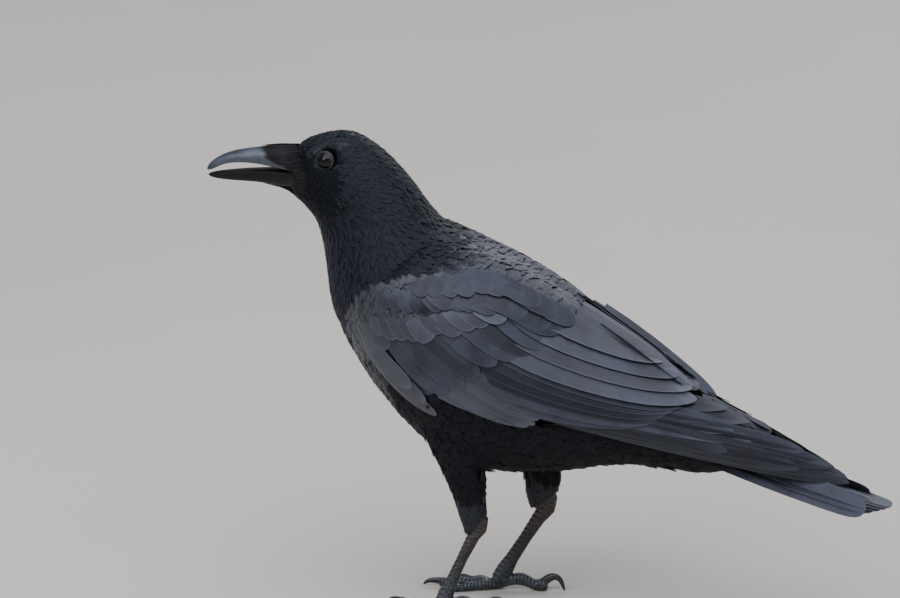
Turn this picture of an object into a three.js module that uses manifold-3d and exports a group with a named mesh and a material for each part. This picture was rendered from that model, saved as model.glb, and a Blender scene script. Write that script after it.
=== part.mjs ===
// A carrion crow standing still, life size, in millimetres. It faces -X with its left side towards -Y,
// and stands on the floor at Z 0. Each named mesh is one part of the bird.
import * as THREE from 'three';
import { mergeVertices } from 'three/addons/utils/BufferGeometryUtils.js';
import Module from 'manifold-3d';

const wasm = await Module();
wasm.setup();

// ---- driving dimensions ----
const partGap = 0.3; // clear space between neighbouring parts
const bodySides = 20;
const bodySteps = 28;
const headLength = 0.335; // where the head is parted from the neck, as a share of the body's length
const neckLength = 0.5; // where the neck is parted from the trunk
const eyeRadius = 7;
const eyeCentre = [-136.4, 13.4, 286.3]; // the right eye's; the left is its mirror image
const tailRoot = { x: 58, z: 118.5 };
const tailTip = { x: 214.5, z: 72.8 };
const tailFeathers = 12;
const tailHalfWidthAtRoot = 13;
const tailHalfWidthAtTip = 28.5;
const tailThickness = 2.4;
const tailRounding = 19; // how far the outer feathers fall short of the middle ones
const toePadRadius = 3.5;
const tarsusDepth = 2.9; // half of the shank's fore-and-aft size
const tarsusWidth = 2.3;

const feather = new THREE.MeshStandardMaterial({ color: 0x15171b, roughness: 0.55, metalness: 0 });
const wingFeather = new THREE.MeshStandardMaterial({ color: 0x24272d, roughness: 0.45, metalness: 0 });
const horn = new THREE.MeshStandardMaterial({ color: 0x2b2e33, roughness: 0.35, metalness: 0 });
const scaledSkin = new THREE.MeshStandardMaterial({ color: 0x1e1d1c, roughness: 0.6, metalness: 0 });
const eyeball = new THREE.MeshStandardMaterial({ color: 0x0b0807, roughness: 0.06, metalness: 0 });

// One ring of a tube: its upper point, its lower point, its half width, and how far up (1) or down (-1)
// the widest place lies.
const ring = (name, back, front, halfWidth, widest = 0) => ({ name, back, front, halfWidth, widest });

const bodyRings = [
  ring('bill root', [-157.4, 291.2], [-165.3, 264.6], 8, -0.1),
  ring('brow', [-150.7, 296.3], [-158.2, 259.8], 14, -0.15),
  ring('eyes', [-135, 301.2], [-148.1, 249.5], 20.4, -0.12),
  ring('crown', [-123, 301.6], [-144, 243.6], 22.8, -0.1),
  ring('nape', [-104.6, 291.3], [-140.2, 227.8], 26.5, -0.05),
  ring('neck', [-85.8, 270.9], [-138.2, 211.2], 32.5),
  ring('collar', [-65.8, 245.1], [-134.9, 189.6], 41),
  ring('shoulder', [-33.4, 228.3], [-121.2, 160.4], 48.5),
  ring('breast', [0.5, 210.5], [-93.5, 122], 51),
  ring('flank', [32, 184], [-51.7, 91], 46.5),
  ring('belly', [60, 164], [2.8, 89], 37, 0.03),
  ring('rump', [84, 145], [48.4, 95.8], 29.5, 0.05),
  ring('tail coverts', [106, 125], [89, 91.4], 21),
  ring('tail coverts end', [128, 102.5], [122, 95], 9),
];

// The smooth surface that the folded wings' outer faces lie on, from the bend of the wing to its tip.
const wingRings = [
  ring('neck', [-85.8, 270.7], [-137.5, 211.2], 35.5),
  ring('bend', [-64.3, 247.2], [-133.5, 189.6], 46.5),
  ring('shoulder', [-32.5, 230.8], [-120.3, 160.4], 55),
  ring('back', [1.4, 213.6], [-93.5, 122], 58.5),
  ring('elbow', [34.5, 190.2], [-51.7, 91], 54),
  ring('tertials', [65.5, 168.5], [2.8, 88.6], 45, 0.02),
  ring('tertial tips', [91, 149], [48.4, 96.2], 38.5, 0),
  ring('primaries', [114.5, 136], [101, 97], 31.5, -0.1),
  ring('primaries mid', [133, 127], [125, 90], 26.5, -0.1),
  ring('primaries end', [160, 113.8], [153, 78], 20.5, -0.12),
  ring('wing tip', [192, 94.5], [188, 66], 11, -0.15),
];

// ---- shaping ----
function solidOf(geometry) {
  const bare = geometry.clone();
  bare.deleteAttribute('normal');
  bare.deleteAttribute('uv');
  const closed = mergeVertices(bare, 1e-4);
  return new wasm.Manifold(new wasm.Mesh({
    numProp: 3,
    vertProperties: new Float32Array(closed.attributes.position.array),
    triVerts: new Uint32Array(closed.index.array),
  }));
}

function geometryOf(solid) {
  const mesh = solid.getMesh();
  const geometry = new THREE.BufferGeometry();
  geometry.setAttribute('position', new THREE.BufferAttribute(mesh.vertProperties, 3));
  geometry.setIndex(new THREE.BufferAttribute(mesh.triVerts, 1));
  geometry.computeVertexNormals();
  return geometry;
}

// Bends a closed cylinder. place gives the point at a share of its length, an angle and a share of its width.
function bentCylinder(sides, steps, place) {
  const geometry = new THREE.CylinderGeometry(1, 1, 1, sides, steps);
  const position = geometry.attributes.position;
  for (let i = 0; i < position.count; i++) {
    const across = Math.hypot(position.getX(i), position.getZ(i));
    const angle = Math.atan2(position.getX(i), position.getZ(i));
    const point = place(position.getY(i) + 0.5, angle, Math.min(1, across));
    position.setXYZ(i, point.x, point.y, point.z);
  }
  return geometry;
}

// A tube through rings, blended smoothly between them. grow makes it that much fatter all round.
function ringTube(rings, steps, sides, grow = 0) {
  const line = (pick) => new THREE.CatmullRomCurve3(rings.map(pick));
  const backs = line((r) => new THREE.Vector3(r.back[0], 0, r.back[1]));
  const fronts = line((r) => new THREE.Vector3(r.front[0], 0, r.front[1]));
  const sizes = line((r) => new THREE.Vector3(r.halfWidth, r.widest, 0));
  return bentCylinder(sides, steps, (along, angle, share) => {
    const back = backs.getPoint(along);
    const front = fronts.getPoint(along);
    const size = sizes.getPoint(along);
    const middle = back.clone().add(front).multiplyScalar(0.5);
    const half = back.clone().sub(front).multiplyScalar(0.5);
    half.setLength(half.length() + grow);
    const up = share * Math.cos(angle);
    const raised = up + share * size.y * (1 - Math.cos(angle) ** 2);
    const out = share * Math.sin(angle) * (size.x + grow);
    return middle.add(half.multiplyScalar(raised)).add(new THREE.Vector3(0, -out, 0));
  });
}

// A tube along a smooth line, with sizes [across, in the line's own plane] given at even steps along it.
function limb(points, sizes, sides, steps, side = new THREE.Vector3(0, 1, 0)) {
  const line = new THREE.CatmullRomCurve3(points.map((p) => new THREE.Vector3(...p)));
  const radii = new THREE.CatmullRomCurve3(sizes.map(([a, b]) => new THREE.Vector3(a, b, 0)));
  return bentCylinder(sides, steps, (along, angle, share) => {
    const tangent = line.getTangent(along);
    const across = side.clone().addScaledVector(tangent, -side.dot(tangent)).normalize();
    const upward = new THREE.Vector3().crossVectors(tangent, across);
    const size = radii.getPoint(along);
    return line.getPoint(along)
      .addScaledVector(across, share * Math.cos(angle) * size.x)
      .addScaledVector(upward, share * Math.sin(angle) * size.y);
  });
}

// ---- body, parted by thin cuts across it ----
const bodySolid = solidOf(ringTube(bodyRings, bodySteps, bodySides));
const bodyGrown = solidOf(ringTube(bodyRings, bodySteps, bodySides, partGap));

// The plane across the body at a share of its length, as a normal that points along it and a distance.
function planeAcross(share) {
  const at = (pick) => new THREE.CatmullRomCurve3(
    bodyRings.map((r) => new THREE.Vector3(r[pick][0], 0, r[pick][1]))).getPoint(share);
  const back = at('back');
  const front = at('front');
  const normal = new THREE.Vector3(back.z - front.z, 0, front.x - back.x).normalize();
  return { normal: normal.toArray(), distance: normal.dot(back) };
}
const flip = (v) => v.map((c) => -c);
const headPlane = planeAcross(headLength);
const neckPlane = planeAcross(neckLength);
const before = (solid, plane) => solid.trimByPlane(flip(plane.normal), -plane.distance + partGap / 2);
const after = (solid, plane) => solid.trimByPlane(plane.normal, plane.distance + partGap / 2);

const eyeSolid = (side, grow = 0) => solidOf(new THREE.SphereGeometry(eyeRadius + grow, 12, 8)
  .rotateX(Math.PI / 2)
  .translate(eyeCentre[0], side * eyeCentre[1], eyeCentre[2]));
const headSolid = before(bodySolid, headPlane)
  .subtract(eyeSolid(1, partGap))
  .subtract(eyeSolid(-1, partGap));
const neckSolid = before(after(bodySolid, headPlane), neckPlane);
const trunkSolid = after(bodySolid, neckPlane);

// ---- bill: a stout arched upper half over a slimmer lower one, a little apart ----
const upperBillRings = [
  ring('tip', [-214.5, 274.6], [-213.6, 273.8], 0.6),
  ring('hook', [-208.6, 281.2], [-208, 276], 2.8, -0.2),
  ring('arch', [-198, 286.2], [-198, 278.9], 4.9, -0.3),
  ring('middle', [-182, 289.3], [-182, 279], 6.7, -0.35),
  ring('nostrils', [-163, 292], [-163, 276], 8.3, -0.35),
  ring('in the skull', [-148, 292], [-148, 275], 8.4, -0.35),
];
const lowerBillRings = [
  ring('tip', [-213.4, 270.6], [-213.2, 269.4], 0.8),
  ring('taper', [-197, 274.4], [-197, 267.6], 4.2, 0.3),
  ring('middle', [-180, 275.8], [-180, 267], 5.8, 0.3),
  ring('chin', [-164, 274.4], [-164, 263.4], 7.2, 0.3),
  ring('in the skull', [-148, 272.6], [-148, 259.5], 7.8, 0.3),
];
const billSolid = (rings) => solidOf(ringTube(rings, 11, 12)).subtract(bodyGrown);

// ---- tail: a fan of long feathers, stepped down from the middle pair to the outer ones ----
function tailGeometry() {
  const geometry = new THREE.BoxGeometry(1, 1, 1, 4, tailFeathers * 2, 1);
  const position = geometry.attributes.position;
  const slope = (tailTip.z - tailRoot.z) / (tailTip.x - tailRoot.x);
  for (let i = 0; i < position.count; i++) {
    const along = position.getX(i) + 0.5;
    const across = position.getY(i) * 2;
    const upper = position.getZ(i) > 0;
    const fromMiddle = Math.abs(across);
    const inFeather = fromMiddle * tailFeathers / 2;
    const feather = Math.min(tailFeathers / 2 - 1, Math.floor(inFeather + 1e-6));
    const nearEdge = Math.abs(inFeather - feather - 0.5) * 2;
    const reach = 1 - (tailRounding * fromMiddle ** 2 + 4 * nearEdge ** 3) / (tailTip.x - tailRoot.x);
    const x = tailRoot.x + along * reach * (tailTip.x - tailRoot.x);
    const share = (x - tailRoot.x) / (tailTip.x - tailRoot.x);
    const halfWidth = THREE.MathUtils.lerp(tailHalfWidthAtRoot, tailHalfWidthAtTip, Math.sqrt(share));
    const thickness = THREE.MathUtils.lerp(tailThickness, tailThickness / 2, share);
    const droop = 2.6 * fromMiddle ** 2 + 0.6 * nearEdge;
    const z = tailRoot.z + slope * (x - tailRoot.x) - droop + (upper ? 0 : -thickness);
    position.setXYZ(i, x, across * halfWidth, z);
  }
  return geometry;
}
const tailSolid = solidOf(tailGeometry()).subtract(bodyGrown);

// ---- wings: four groups of feathers, each cut from the folded wing's shell by its outline ----

// A plate through the whole bird with an outline given from the side, as X and Z.
function sideCutter(shape) {
  const halfDepth = 90;
  const geometry = new THREE.ExtrudeGeometry(shape, {
    depth: 2 * halfDepth, bevelEnabled: false, curveSegments: 2,
  });
  return solidOf(geometry.translate(0, 0, -halfDepth).rotateX(Math.PI / 2));
}

// Adds rounded feather ends to an outline, with the notch between two tips drawn back towards their roots.
function featherEnds(shape, tips, back) {
  const ends = tips.map((tip) => new THREE.Vector2(...tip));
  const drawn = new THREE.Vector2(...back);
  ends.slice(0, -1).forEach((tip, i) => {
    const notch = tip.clone().add(ends[i + 1]).multiplyScalar(0.5).add(drawn);
    const round = tip.clone().add(notch).multiplyScalar(0.5).addScaledVector(drawn, -0.2);
    shape.lineTo(tip.x, tip.y);
    shape.quadraticCurveTo(round.x, round.y, notch.x, notch.y);
  });
  shape.lineTo(...tips[tips.length - 1]);
}

function scapularShape() {
  const shape = new THREE.Shape([new THREE.Vector2(-102, 214.2)]);
  const tips = [[-84, 207.5], [-66, 203], [-48, 200.5], [-28, 201], [-8, 199.5], [13, 193.5]];
  featherEnds(shape, tips, [-1.2, 2.4]);
  shape.lineTo(24, 199);
  shape.lineTo(30, 250);
  shape.lineTo(-40, 262);
  shape.quadraticCurveTo(-84, 232, -102, 214.2);
  return shape;
}

function covertShape() {
  const shape = new THREE.Shape();
  shape.moveTo(-116, 216);
  shape.bezierCurveTo(-118.5, 190, -114, 180, -95.4, 158.3);
  shape.bezierCurveTo(-86, 149, -76, 140, -64, 135);
  shape.lineTo(-61, 140);
  const tips = [[-62.5, 149.5], [-46, 151.5], [-36, 160], [-24, 169], [-11, 173.5], [2, 179.5], [13, 187]];
  featherEnds(shape, tips, [-2.2, 1.6]);
  shape.lineTo(20, 198);
  shape.lineTo(0, 210);
  shape.lineTo(-96, 219);
  shape.lineTo(-110, 221);
  return shape;
}

function secondaryShape() {
  const shape = new THREE.Shape();
  shape.moveTo(-70, 152);
  shape.bezierCurveTo(-40, 150, 10, 141, 62, 131.5);
  const tips = [[66, 131], [76, 132], [86, 136], [94, 143]];
  featherEnds(shape, tips, [-1.2, 0.6]);
  shape.lineTo(92, 152);
  shape.lineTo(98, 230);
  shape.lineTo(-70, 270);
  return shape;
}

function primaryShape() {
  const shape = new THREE.Shape();
  shape.moveTo(-66, 150);
  shape.bezierCurveTo(-40, 137, -20, 128, 10, 127);
  shape.bezierCurveTo(50, 125, 110, 112, 150, 100);
  const tips = [[165, 95], [178, 89.5], [189.5, 86]];
  featherEnds(shape, tips, [-1.5, 0.8]);
  shape.lineTo(190.5, 110);
  shape.lineTo(190.5, 250);
  shape.lineTo(-66, 250);
  return shape;
}

// The right wing's limit from above, as X and Y: clear of the mantle, then close to the middle line.
function planCutter() {
  const shape = new THREE.Shape();
  shape.moveTo(-130, 34);
  shape.bezierCurveTo(-90, 22, -30, 17, 30, 0.3);
  shape.lineTo(110, 0.3);
  shape.lineTo(200, 3);
  shape.lineTo(200, 95);
  shape.lineTo(-130, 95);
  const geometry = new THREE.ExtrudeGeometry(shape, { depth: 300, bevelEnabled: false, curveSegments: 4 });
  return solidOf(geometry);
}

const wingGroups = [
  { name: 'scapulars', shape: scapularShape(), raise: 0.9, thick: 6 },
  { name: 'coverts', shape: covertShape(), raise: 0, thick: 6 },
  { name: 'secondaries', shape: secondaryShape(), raise: -0.9, thick: 3 },
  { name: 'primaries', shape: primaryShape(), raise: -1.8, thick: 2.2 },
];

// Each group stops just short of the groups that lie over it. The inner surface is open underneath.
function rightWing() {
  const plan = planCutter();
  const innerRings = wingRings.map((r) => ({ ...r, front: [r.front[0], r.front[1] - 12] }));
  const over = [];
  return wingGroups.map(({ name, shape, raise, thick }) => {
    const cutter = sideCutter(shape);
    let solid = solidOf(ringTube(wingRings, 17, 20, raise))
      .subtract(solidOf(ringTube(innerRings, 12, 16, raise - thick)))
      .intersect(plan)
      .intersect(cutter)
      .subtract(bodyGrown);
    over.forEach((other) => { solid = solid.subtract(other); });
    over.push(cutter.translate([partGap, 0, -partGap]), cutter);
    const pieces = solid.decompose().sort((a, b) => b.volume() - a.volume());
    return { name, solid: pieces[0] };
  });
}

// ---- legs ----
// Each leg: the ankle and foot in the part's frame, with its feathered thigh's line and sizes.
const legs = [
  {
    side: 'left',
    sign: -1,
    foot: [-63.5, -25.5, 7],
    ankle: [-41.3, -24.5, 56],
    thigh: [[-60, -20, 128], [-53, -22, 108], [-49, -23.5, 90], [-45.6, -24, 73], [-43.6, -24.5, 60],
      [-44, -24.5, 51.5]],
    thighSizes: [[15, 21], [14, 17.5], [10.5, 12.5], [7.5, 9.3], [5.8, 7.9], [3.9, 4.8]],
  },
  {
    side: 'right',
    sign: 1,
    foot: [-34.5, 25.5, 7],
    ankle: [-8, 24.5, 55],
    thigh: [[-22, 20, 128], [-13, 22, 106], [-8, 23.5, 88], [-7, 24, 74], [-7.4, 24.5, 62], [-8, 24.5, 54]],
    thighSizes: [[15, 21], [14, 17.5], [10.5, 13], [8.5, 11.2], [6.6, 9.4], [4.4, 6]],
  },
];
// Each toe: its heading in degrees from straight ahead, positive towards the bird's outer side; its length
// without the claw; its thickness; and the claw's length and the angle in radians that it first rises at.
const toes = [
  { name: 'inner', turn: -22, length: 26, size: 0.94, claw: 11, rise: 0.1 },
  { name: 'middle', turn: 0, length: 36, size: 1, claw: 12, rise: 0.1 },
  { name: 'outer', turn: 21, length: 29, size: 0.88, claw: 10, rise: 0.1 },
  { name: 'hind', turn: 180, length: 24.5, size: 1.05, claw: 16, rise: 0.45 },
];

function tarsusGeometry({ foot, ankle }) {
  const along = (share) => ankle.map((c, i) => THREE.MathUtils.lerp(c, foot[i], share));
  const heel = [ankle[0] + 1.6, ankle[1], ankle[2] + 1.5];
  const sizes = [[3.2, 4.4], [3.1, 4.2], [tarsusWidth, tarsusDepth], [tarsusWidth, tarsusDepth],
    [tarsusWidth, tarsusDepth * 1.05], [2.9, 3.9], [3.4, 4.3]];
  const line = [heel, along(0.12), along(0.3), along(0.5), along(0.7), along(0.88), foot];
  return limb(line, sizes, 9, 9);
}

// The way that a toe runs, as a unit vector on the floor.
function heading(toe, sign) {
  const turn = THREE.MathUtils.degToRad(toe.turn) * sign;
  return new THREE.Vector3(-Math.cos(turn), Math.sin(turn), 0);
}

function toeGeometry(toe, leg) {
  const way = heading(toe, leg.sign);
  const side = new THREE.Vector3(-way.y, way.x, 0);
  const pads = 4;
  const radius = (share) => toePadRadius * toe.size
    * (1.06 - 0.22 * share + 0.13 * Math.cos(share * pads * Math.PI * 2 / 1.15));
  const shares = Array.from({ length: 13 }, (_, i) => i / 12);
  const points = shares.map((share) => {
    const out = way.clone().multiplyScalar(share * toe.length);
    const rise = toePadRadius * toe.size * (0.93 - 0.1 * share);
    const arch = 1.6 * Math.exp(-share * 5);
    return [leg.foot[0] + out.x, leg.foot[1] + out.y, rise + arch];
  });
  return limb(points, shares.map((share) => [radius(share), radius(share)]), 6, 10, side);
}

function clawGeometry(toe, leg) {
  const way = heading(toe, leg.sign);
  const side = new THREE.Vector3(-way.y, way.x, 0);
  const steps = 6;
  const start = toe.length + partGap;
  const turnOver = 1.3 + toe.rise; // how far round the claw curls, in radians
  const bend = toe.claw / turnOver;
  const base = toePadRadius * toe.size * 0.62;
  const lift = toePadRadius * toe.size * (0.9 + 0.4 * toe.rise);
  const points = Array.from({ length: steps + 1 }, (_, i) => {
    const angle = -toe.rise + turnOver * i / steps;
    const out = start + bend * (Math.sin(angle) + Math.sin(toe.rise));
    const drop = bend * (Math.cos(toe.rise) - Math.cos(angle));
    return [leg.foot[0] + way.x * out, leg.foot[1] + way.y * out, lift - drop];
  });
  const lowest = Math.min(...points.map((p) => p[2]));
  const raised = points.map(([x, y, z]) => [x, y, z + Math.max(0, 0.6 - lowest)]);
  const sizes = Array.from({ length: steps + 1 }, (_, i) => {
    const taper = 1 - 0.86 * (i / steps) ** 1.2;
    return [base * taper * 0.72, base * taper];
  });
  return limb(raised, sizes, 6, steps - 1, side);
}

function legMeshes(leg) {
  const floor = (solid) => solid.trimByPlane([0, 0, 1], 0);
  const sole = (grow) => solidOf(new THREE.SphereGeometry(1, 10, 8).rotateX(Math.PI / 2)
    .scale(6 + grow, 5.4 + grow, 4.6 + grow)
    .translate(leg.foot[0], leg.foot[1], 4.2));
  const toeSolids = toes.map((toe) => solidOf(toeGeometry(toe, leg)));
  const joinedToes = toeSolids.reduce((joined, solid) => joined.add(solid));
  const foot = floor(joinedToes.add(sole(0)));
  const grownSizes = (grow) => leg.thighSizes.map(([a, b]) => [a + grow, b + grow]);
  const thighSolid = (grow) => solidOf(limb(leg.thigh, grownSizes(grow), 12, 9));
  const thigh = thighSolid(0).subtract(bodyGrown);
  const tarsus = solidOf(tarsusGeometry(leg))
    .subtract(sole(partGap))
    .subtract(joinedToes)
    .subtract(joinedToes.translate([0, 0, partGap]))
    .subtract(thighSolid(0))
    .subtract(thighSolid(partGap).translate([0, 0, -partGap]));
  const largest = (solid) => solid.decompose().sort((a, b) => b.volume() - a.volume())[0];
  return [
    [`thigh_${leg.side}`, largest(thigh), feather],
    [`tarsus_${leg.side}`, largest(tarsus), scaledSkin],
    [`foot_${leg.side}`, foot, scaledSkin],
    ...toes.map((toe) => [`claw_${leg.side}_${toe.name}`,
      floor(solidOf(clawGeometry(toe, leg))).subtract(foot), horn]),
  ];
}

// ---- assembly ----
const crow = new THREE.Group();
crow.name = 'crow';
function addMesh(name, solid, material) {
  const mesh = new THREE.Mesh(geometryOf(solid), material.clone());
  mesh.name = name;
  crow.add(mesh);
}

addMesh('head', headSolid, feather);
addMesh('neck', neckSolid, feather);
addMesh('trunk', trunkSolid, feather);
addMesh('eye_left', eyeSolid(-1), eyeball);
addMesh('eye_right', eyeSolid(1), eyeball);
addMesh('bill_upper', billSolid(upperBillRings), horn);
addMesh('bill_lower', billSolid(lowerBillRings), horn);
addMesh('tail', tailSolid, wingFeather);
rightWing().forEach(({ name, solid }) => {
  addMesh(`wing_right_${name}`, solid, wingFeather);
  addMesh(`wing_left_${name}`, solid.mirror([0, 1, 0]), wingFeather);
});
legs.forEach((leg) => legMeshes(leg).forEach(([name, solid, material]) => addMesh(name, solid, material)));

export default crow;
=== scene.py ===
from math import pi, sin, cos, radians, sqrt, atan2
import bpy
import bmesh
import numpy as np
from mathutils import Vector, Matrix
from mathutils.bvhtree import BVHTree
from mathutils.kdtree import KDTree


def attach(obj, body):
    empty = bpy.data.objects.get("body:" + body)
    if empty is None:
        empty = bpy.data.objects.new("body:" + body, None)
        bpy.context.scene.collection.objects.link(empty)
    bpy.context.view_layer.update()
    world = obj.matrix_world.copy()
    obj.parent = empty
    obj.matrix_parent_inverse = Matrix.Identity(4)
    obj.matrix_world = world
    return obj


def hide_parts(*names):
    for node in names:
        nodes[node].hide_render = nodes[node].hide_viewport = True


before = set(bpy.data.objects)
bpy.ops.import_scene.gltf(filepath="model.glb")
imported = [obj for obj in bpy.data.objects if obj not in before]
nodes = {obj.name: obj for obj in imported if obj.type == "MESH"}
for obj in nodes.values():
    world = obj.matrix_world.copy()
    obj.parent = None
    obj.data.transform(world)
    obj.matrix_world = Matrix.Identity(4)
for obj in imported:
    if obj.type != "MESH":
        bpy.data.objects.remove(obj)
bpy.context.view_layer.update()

mm = 0.001
sides = {"left": -1, "right": 1}  # the sign of Y


# the camera stands to the bird's left, a little above it
cameraSet = {
    "turn": 8, "rise": 16,  # degrees round the bird, and above the level
    "distance": 4.65, "lens": 300, "chip": 36, "farthest": 50,
    "target": (-0.062, 0.0, 0.196), "middle": (450, 299), "pixels": 900,
}
turn, rise = radians(cameraSet["turn"]), radians(cameraSet["rise"])
camRight = Vector((cos(turn), sin(turn), 0))
camBack = Vector((sin(turn) * cos(rise), -cos(turn) * cos(rise), sin(rise)))
camUp = camBack.cross(camRight)
camPlace = Vector(cameraSet["target"]) + camBack * cameraSet["distance"]
focal = cameraSet["lens"] / cameraSet["chip"] * cameraSet["pixels"]

cameraData = bpy.data.cameras.new("camera")
cameraData.lens, cameraData.sensor_width = cameraSet["lens"], cameraSet["chip"]
cameraData.clip_end = cameraSet["farthest"]
camera = bpy.data.objects.new("camera", cameraData)
camera.matrix_world = Matrix.Translation(camPlace) @ Matrix((camRight, camUp, camBack)).transposed().to_4x4()
bpy.context.collection.objects.link(camera)
bpy.context.scene.camera = camera


def sightLine(across, down):
    # the direction from the camera through a place of its frame
    shiftX, shiftY = (across - cameraSet["middle"][0]) / focal, (cameraSet["middle"][1] - down) / focal
    return (camRight * shiftX + camUp * shiftY - camBack).normalized()


def inFrame(points):
    # where points in space fall in the camera's frame
    r = np.asarray(points) - np.array(cameraSet["target"])
    depth = cameraSet["distance"] - r @ np.array(camBack)
    return np.stack([cameraSet["middle"][0] + focal * (r @ np.array(camRight)) / depth,
                     cameraSet["middle"][1] - focal * (r @ np.array(camUp)) / depth], 1)


def toLinear(hexText):
    values = [int(hexText[i:i + 2], 16) / 255 for i in (1, 3, 5)]
    return tuple(v / 12.92 if v <= 0.04045 else ((v + 0.055) / 1.055) ** 2.4 for v in values) + (1.0,)


lightSet = {
    "sky": ("#e4e9f2", 0.42),
    "softboxes": [  # name, place, aim, size, watts, colour
        ("overhead", (0.2, -0.9, 2.5), (0, 0, 0.15), 2.8, 74, "#eef2ff"),
        ("side", (-1.4, -2.2, 1.9), (-0.05, 0, 0.18), 1.6, 34, "#f2f5ff"),
        ("rim", (0.6, 2.2, 1.8), (-0.05, 0, 0.2), 1.6, 24, "#f2f5fc"),
    ],
}


def placeLights():
    world = bpy.data.worlds.new("sky")
    world.use_nodes = True
    background = world.node_tree.nodes["Background"]
    background.inputs["Color"].default_value = toLinear(lightSet["sky"][0])
    background.inputs["Strength"].default_value = lightSet["sky"][1]
    bpy.context.scene.world = world
    for name, place, target, size, watts, colour in lightSet["softboxes"]:
        data = bpy.data.lights.new(name, "AREA")
        data.shape, data.size, data.energy = "SQUARE", size, watts
        data.color = toLinear(colour)[:3]
        lamp = bpy.data.objects.new(name, data)
        lamp.location = place
        lamp.rotation_euler = (Vector(target) - Vector(place)).to_track_quat("-Z", "Y").to_euler()
        bpy.context.collection.objects.link(lamp)


placeLights()
print("camera and lights ready")


def startMaterial(name):
    material = bpy.data.materials.new(name)
    material.use_nodes = True
    return material, material.node_tree, material.node_tree.nodes["Principled BSDF"]


def feed(tree, node, values):
    # an output is linked to the socket, a hex text on a socket is a colour, and a node's own setting goes by its name
    for key, value in values.items():
        if isinstance(key, str) and hasattr(node, key):
            setattr(node, key, value)
        elif hasattr(value, "is_output"):
            tree.links.new(value, node.inputs[key])
        else:
            node.inputs[key].default_value = toLinear(value) if isinstance(value, str) else value


def addNode(tree, kind, output, values, stops=()):
    # adds a node with its settings and links and gives back one output; stops are a ramp's places and colours
    node = tree.nodes.new("ShaderNode" + kind)
    feed(tree, node, values)
    if stops:
        elements = node.color_ramp.elements
        while len(elements) < len(stops):
            elements.new(0.5)
        for element, (place, colour) in zip(elements, stops):
            element.position, element.color = place, toLinear(colour)
    return node.outputs[output]


# a colour mix takes its share at 0 and its colours at 6 and 7, and gives its result at 2
blended = {"data_type": "RGBA"}
multiplied = {"data_type": "RGBA", "blend_type": "MULTIPLY", 0: 1.0}

plumageSet = {
    # bellyShade is painted shade, darker low on the body; slate is the plumage's own dark grey
    "bellyShade": "#070708", "slate": "#17191d", "violet": "#191a2b", "green": "#0f1413", "brown": "#1d1814",
    "patch": 26, "speck": 420,  # how many colour patches and specks fit in a metre
    "bellyTop": 0.09, "backStart": 0.22,  # heights in metres between which the painted belly shade gives way to slate
    # the throat's violet is painted sheen, the tint of its glossy feathers, strongest at the core
    "throat": (-0.128, 0.0, 0.215), "throatReach": 0.052, "throatCore": 0.02, "throatSheen": 0.8,
}


def plumageColour(tree):
    # black plumage: slate on the upper side, painted shade darkening it towards the belly, and a violet tint on the
    # throat painted in as the sheen of its gloss
    look = plumageSet
    place = addNode(tree, "TexCoord", "Object", {})
    level = addNode(tree, "SeparateXYZ", "Z", {0: place})
    patches = addNode(tree, "TexNoise", "Fac", {"Scale": look["patch"], "Detail": 4.0, "Vector": place})
    specks = addNode(tree, "TexNoise", "Fac", {"Scale": look["speck"], "Detail": 2.0, "Vector": place})
    height = addNode(tree, "MapRange", "Result", {
        "Value": level, "From Min": look["bellyTop"], "From Max": look["backStart"]})
    # painted shade: near black low on the body, slate higher up
    upper = addNode(tree, "Mix", 2, {**blended, 0: height, 6: look["bellyShade"], 7: look["slate"]})
    patchy = addNode(tree, "ValToRGB", "Color", {"Fac": patches}, [(0.35, look["green"]), (0.65, look["slate"])])
    ground = addNode(tree, "Mix", 2, {**blended, 0: 0.4, 6: upper, 7: patchy})
    # painted sheen: violet on the throat, fading out towards the reach
    throat = addNode(tree, "VectorMath", "Value", {"operation": "DISTANCE", 0: place, 1: look["throat"]})
    paintedSheen = addNode(tree, "MapRange", "Result", {"Value": throat, "From Min": look["throatReach"],
                                                 "From Max": look["throatCore"], "To Max": look["throatSheen"]})
    tinted = addNode(tree, "Mix", 2, {**blended, 0: paintedSheen, 6: ground, 7: look["violet"]})
    shade = addNode(tree, "Math", 0, {"operation": "MULTIPLY_ADD", 0: specks, 1: 0.5, 2: 0.75})
    return addNode(tree, "Mix", 2, {**multiplied, 6: tinted, 7: shade})


featherSet = {
    "barbWidth": 0.5,  # mm, the bundles of barbs that the eye can tell apart
    # rim: the colour of the painted highlight along each vane's edge and tip
    "rim": "#454a55", "shaft": "#060608", "gloss": "#eceffc", "sheen": "#b9c2d8",
    "flight": [(0.3, "#121317"), (0.55, "#2b2e37"), (0.75, "#26221f")],  # dark, light and worn brown
}
# range of tone, specular, roughness from and to, sheen, share of the painted rim highlight, share of the dark shaft,
# relief
lookWords = ("range", "specular", "rough", "sheen", "rim", "shaft", "relief")
featherLooks = {
    "faceFeather": ((0.35, 1.0), 0.1, (0.45, 0.6), 0.02, 0.15, 0.1, 0.5),
    "crownFeather": ((0.1, 1.9), 0.36, (0.24, 0.52), 0.03, 0.75, 0.1, 0.4),
    "bristleFeather": ((0.4, 1.5), 0.2, (0.45, 0.6), 0.02, 0.15, 0, 0.2),
    "headFeather": ((0.35, 1.6), 0.21, (0.36, 0.58), 0.03, 0.35, 0.1, 0.5),
    "mantleFeather": ((0.5, 1.8), 0.9, (0.36, 0.5), 0.1, 0.45, 0.25, 0.45),
    "breastFeather": ((0.5, 1.6), 0.45, (0.38, 0.55), 0.08, 0.3, 0.15, 0.5),
    "bellyFeather": ((0.6, 1.5), 0.18, (0.55, 0.75), 0.03, 0.12, 0.1, 0.6),
    "quillFeather": ((0.35, 1.65), 0.5, (0.36, 0.56), 0.06, 0.42, 0.5, 0.35),
    "flightFeather": ((0.4, 1.6), 0.95, (0.34, 0.5), 0.1, 0.6, 0.5, 0.35),
}


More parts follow.
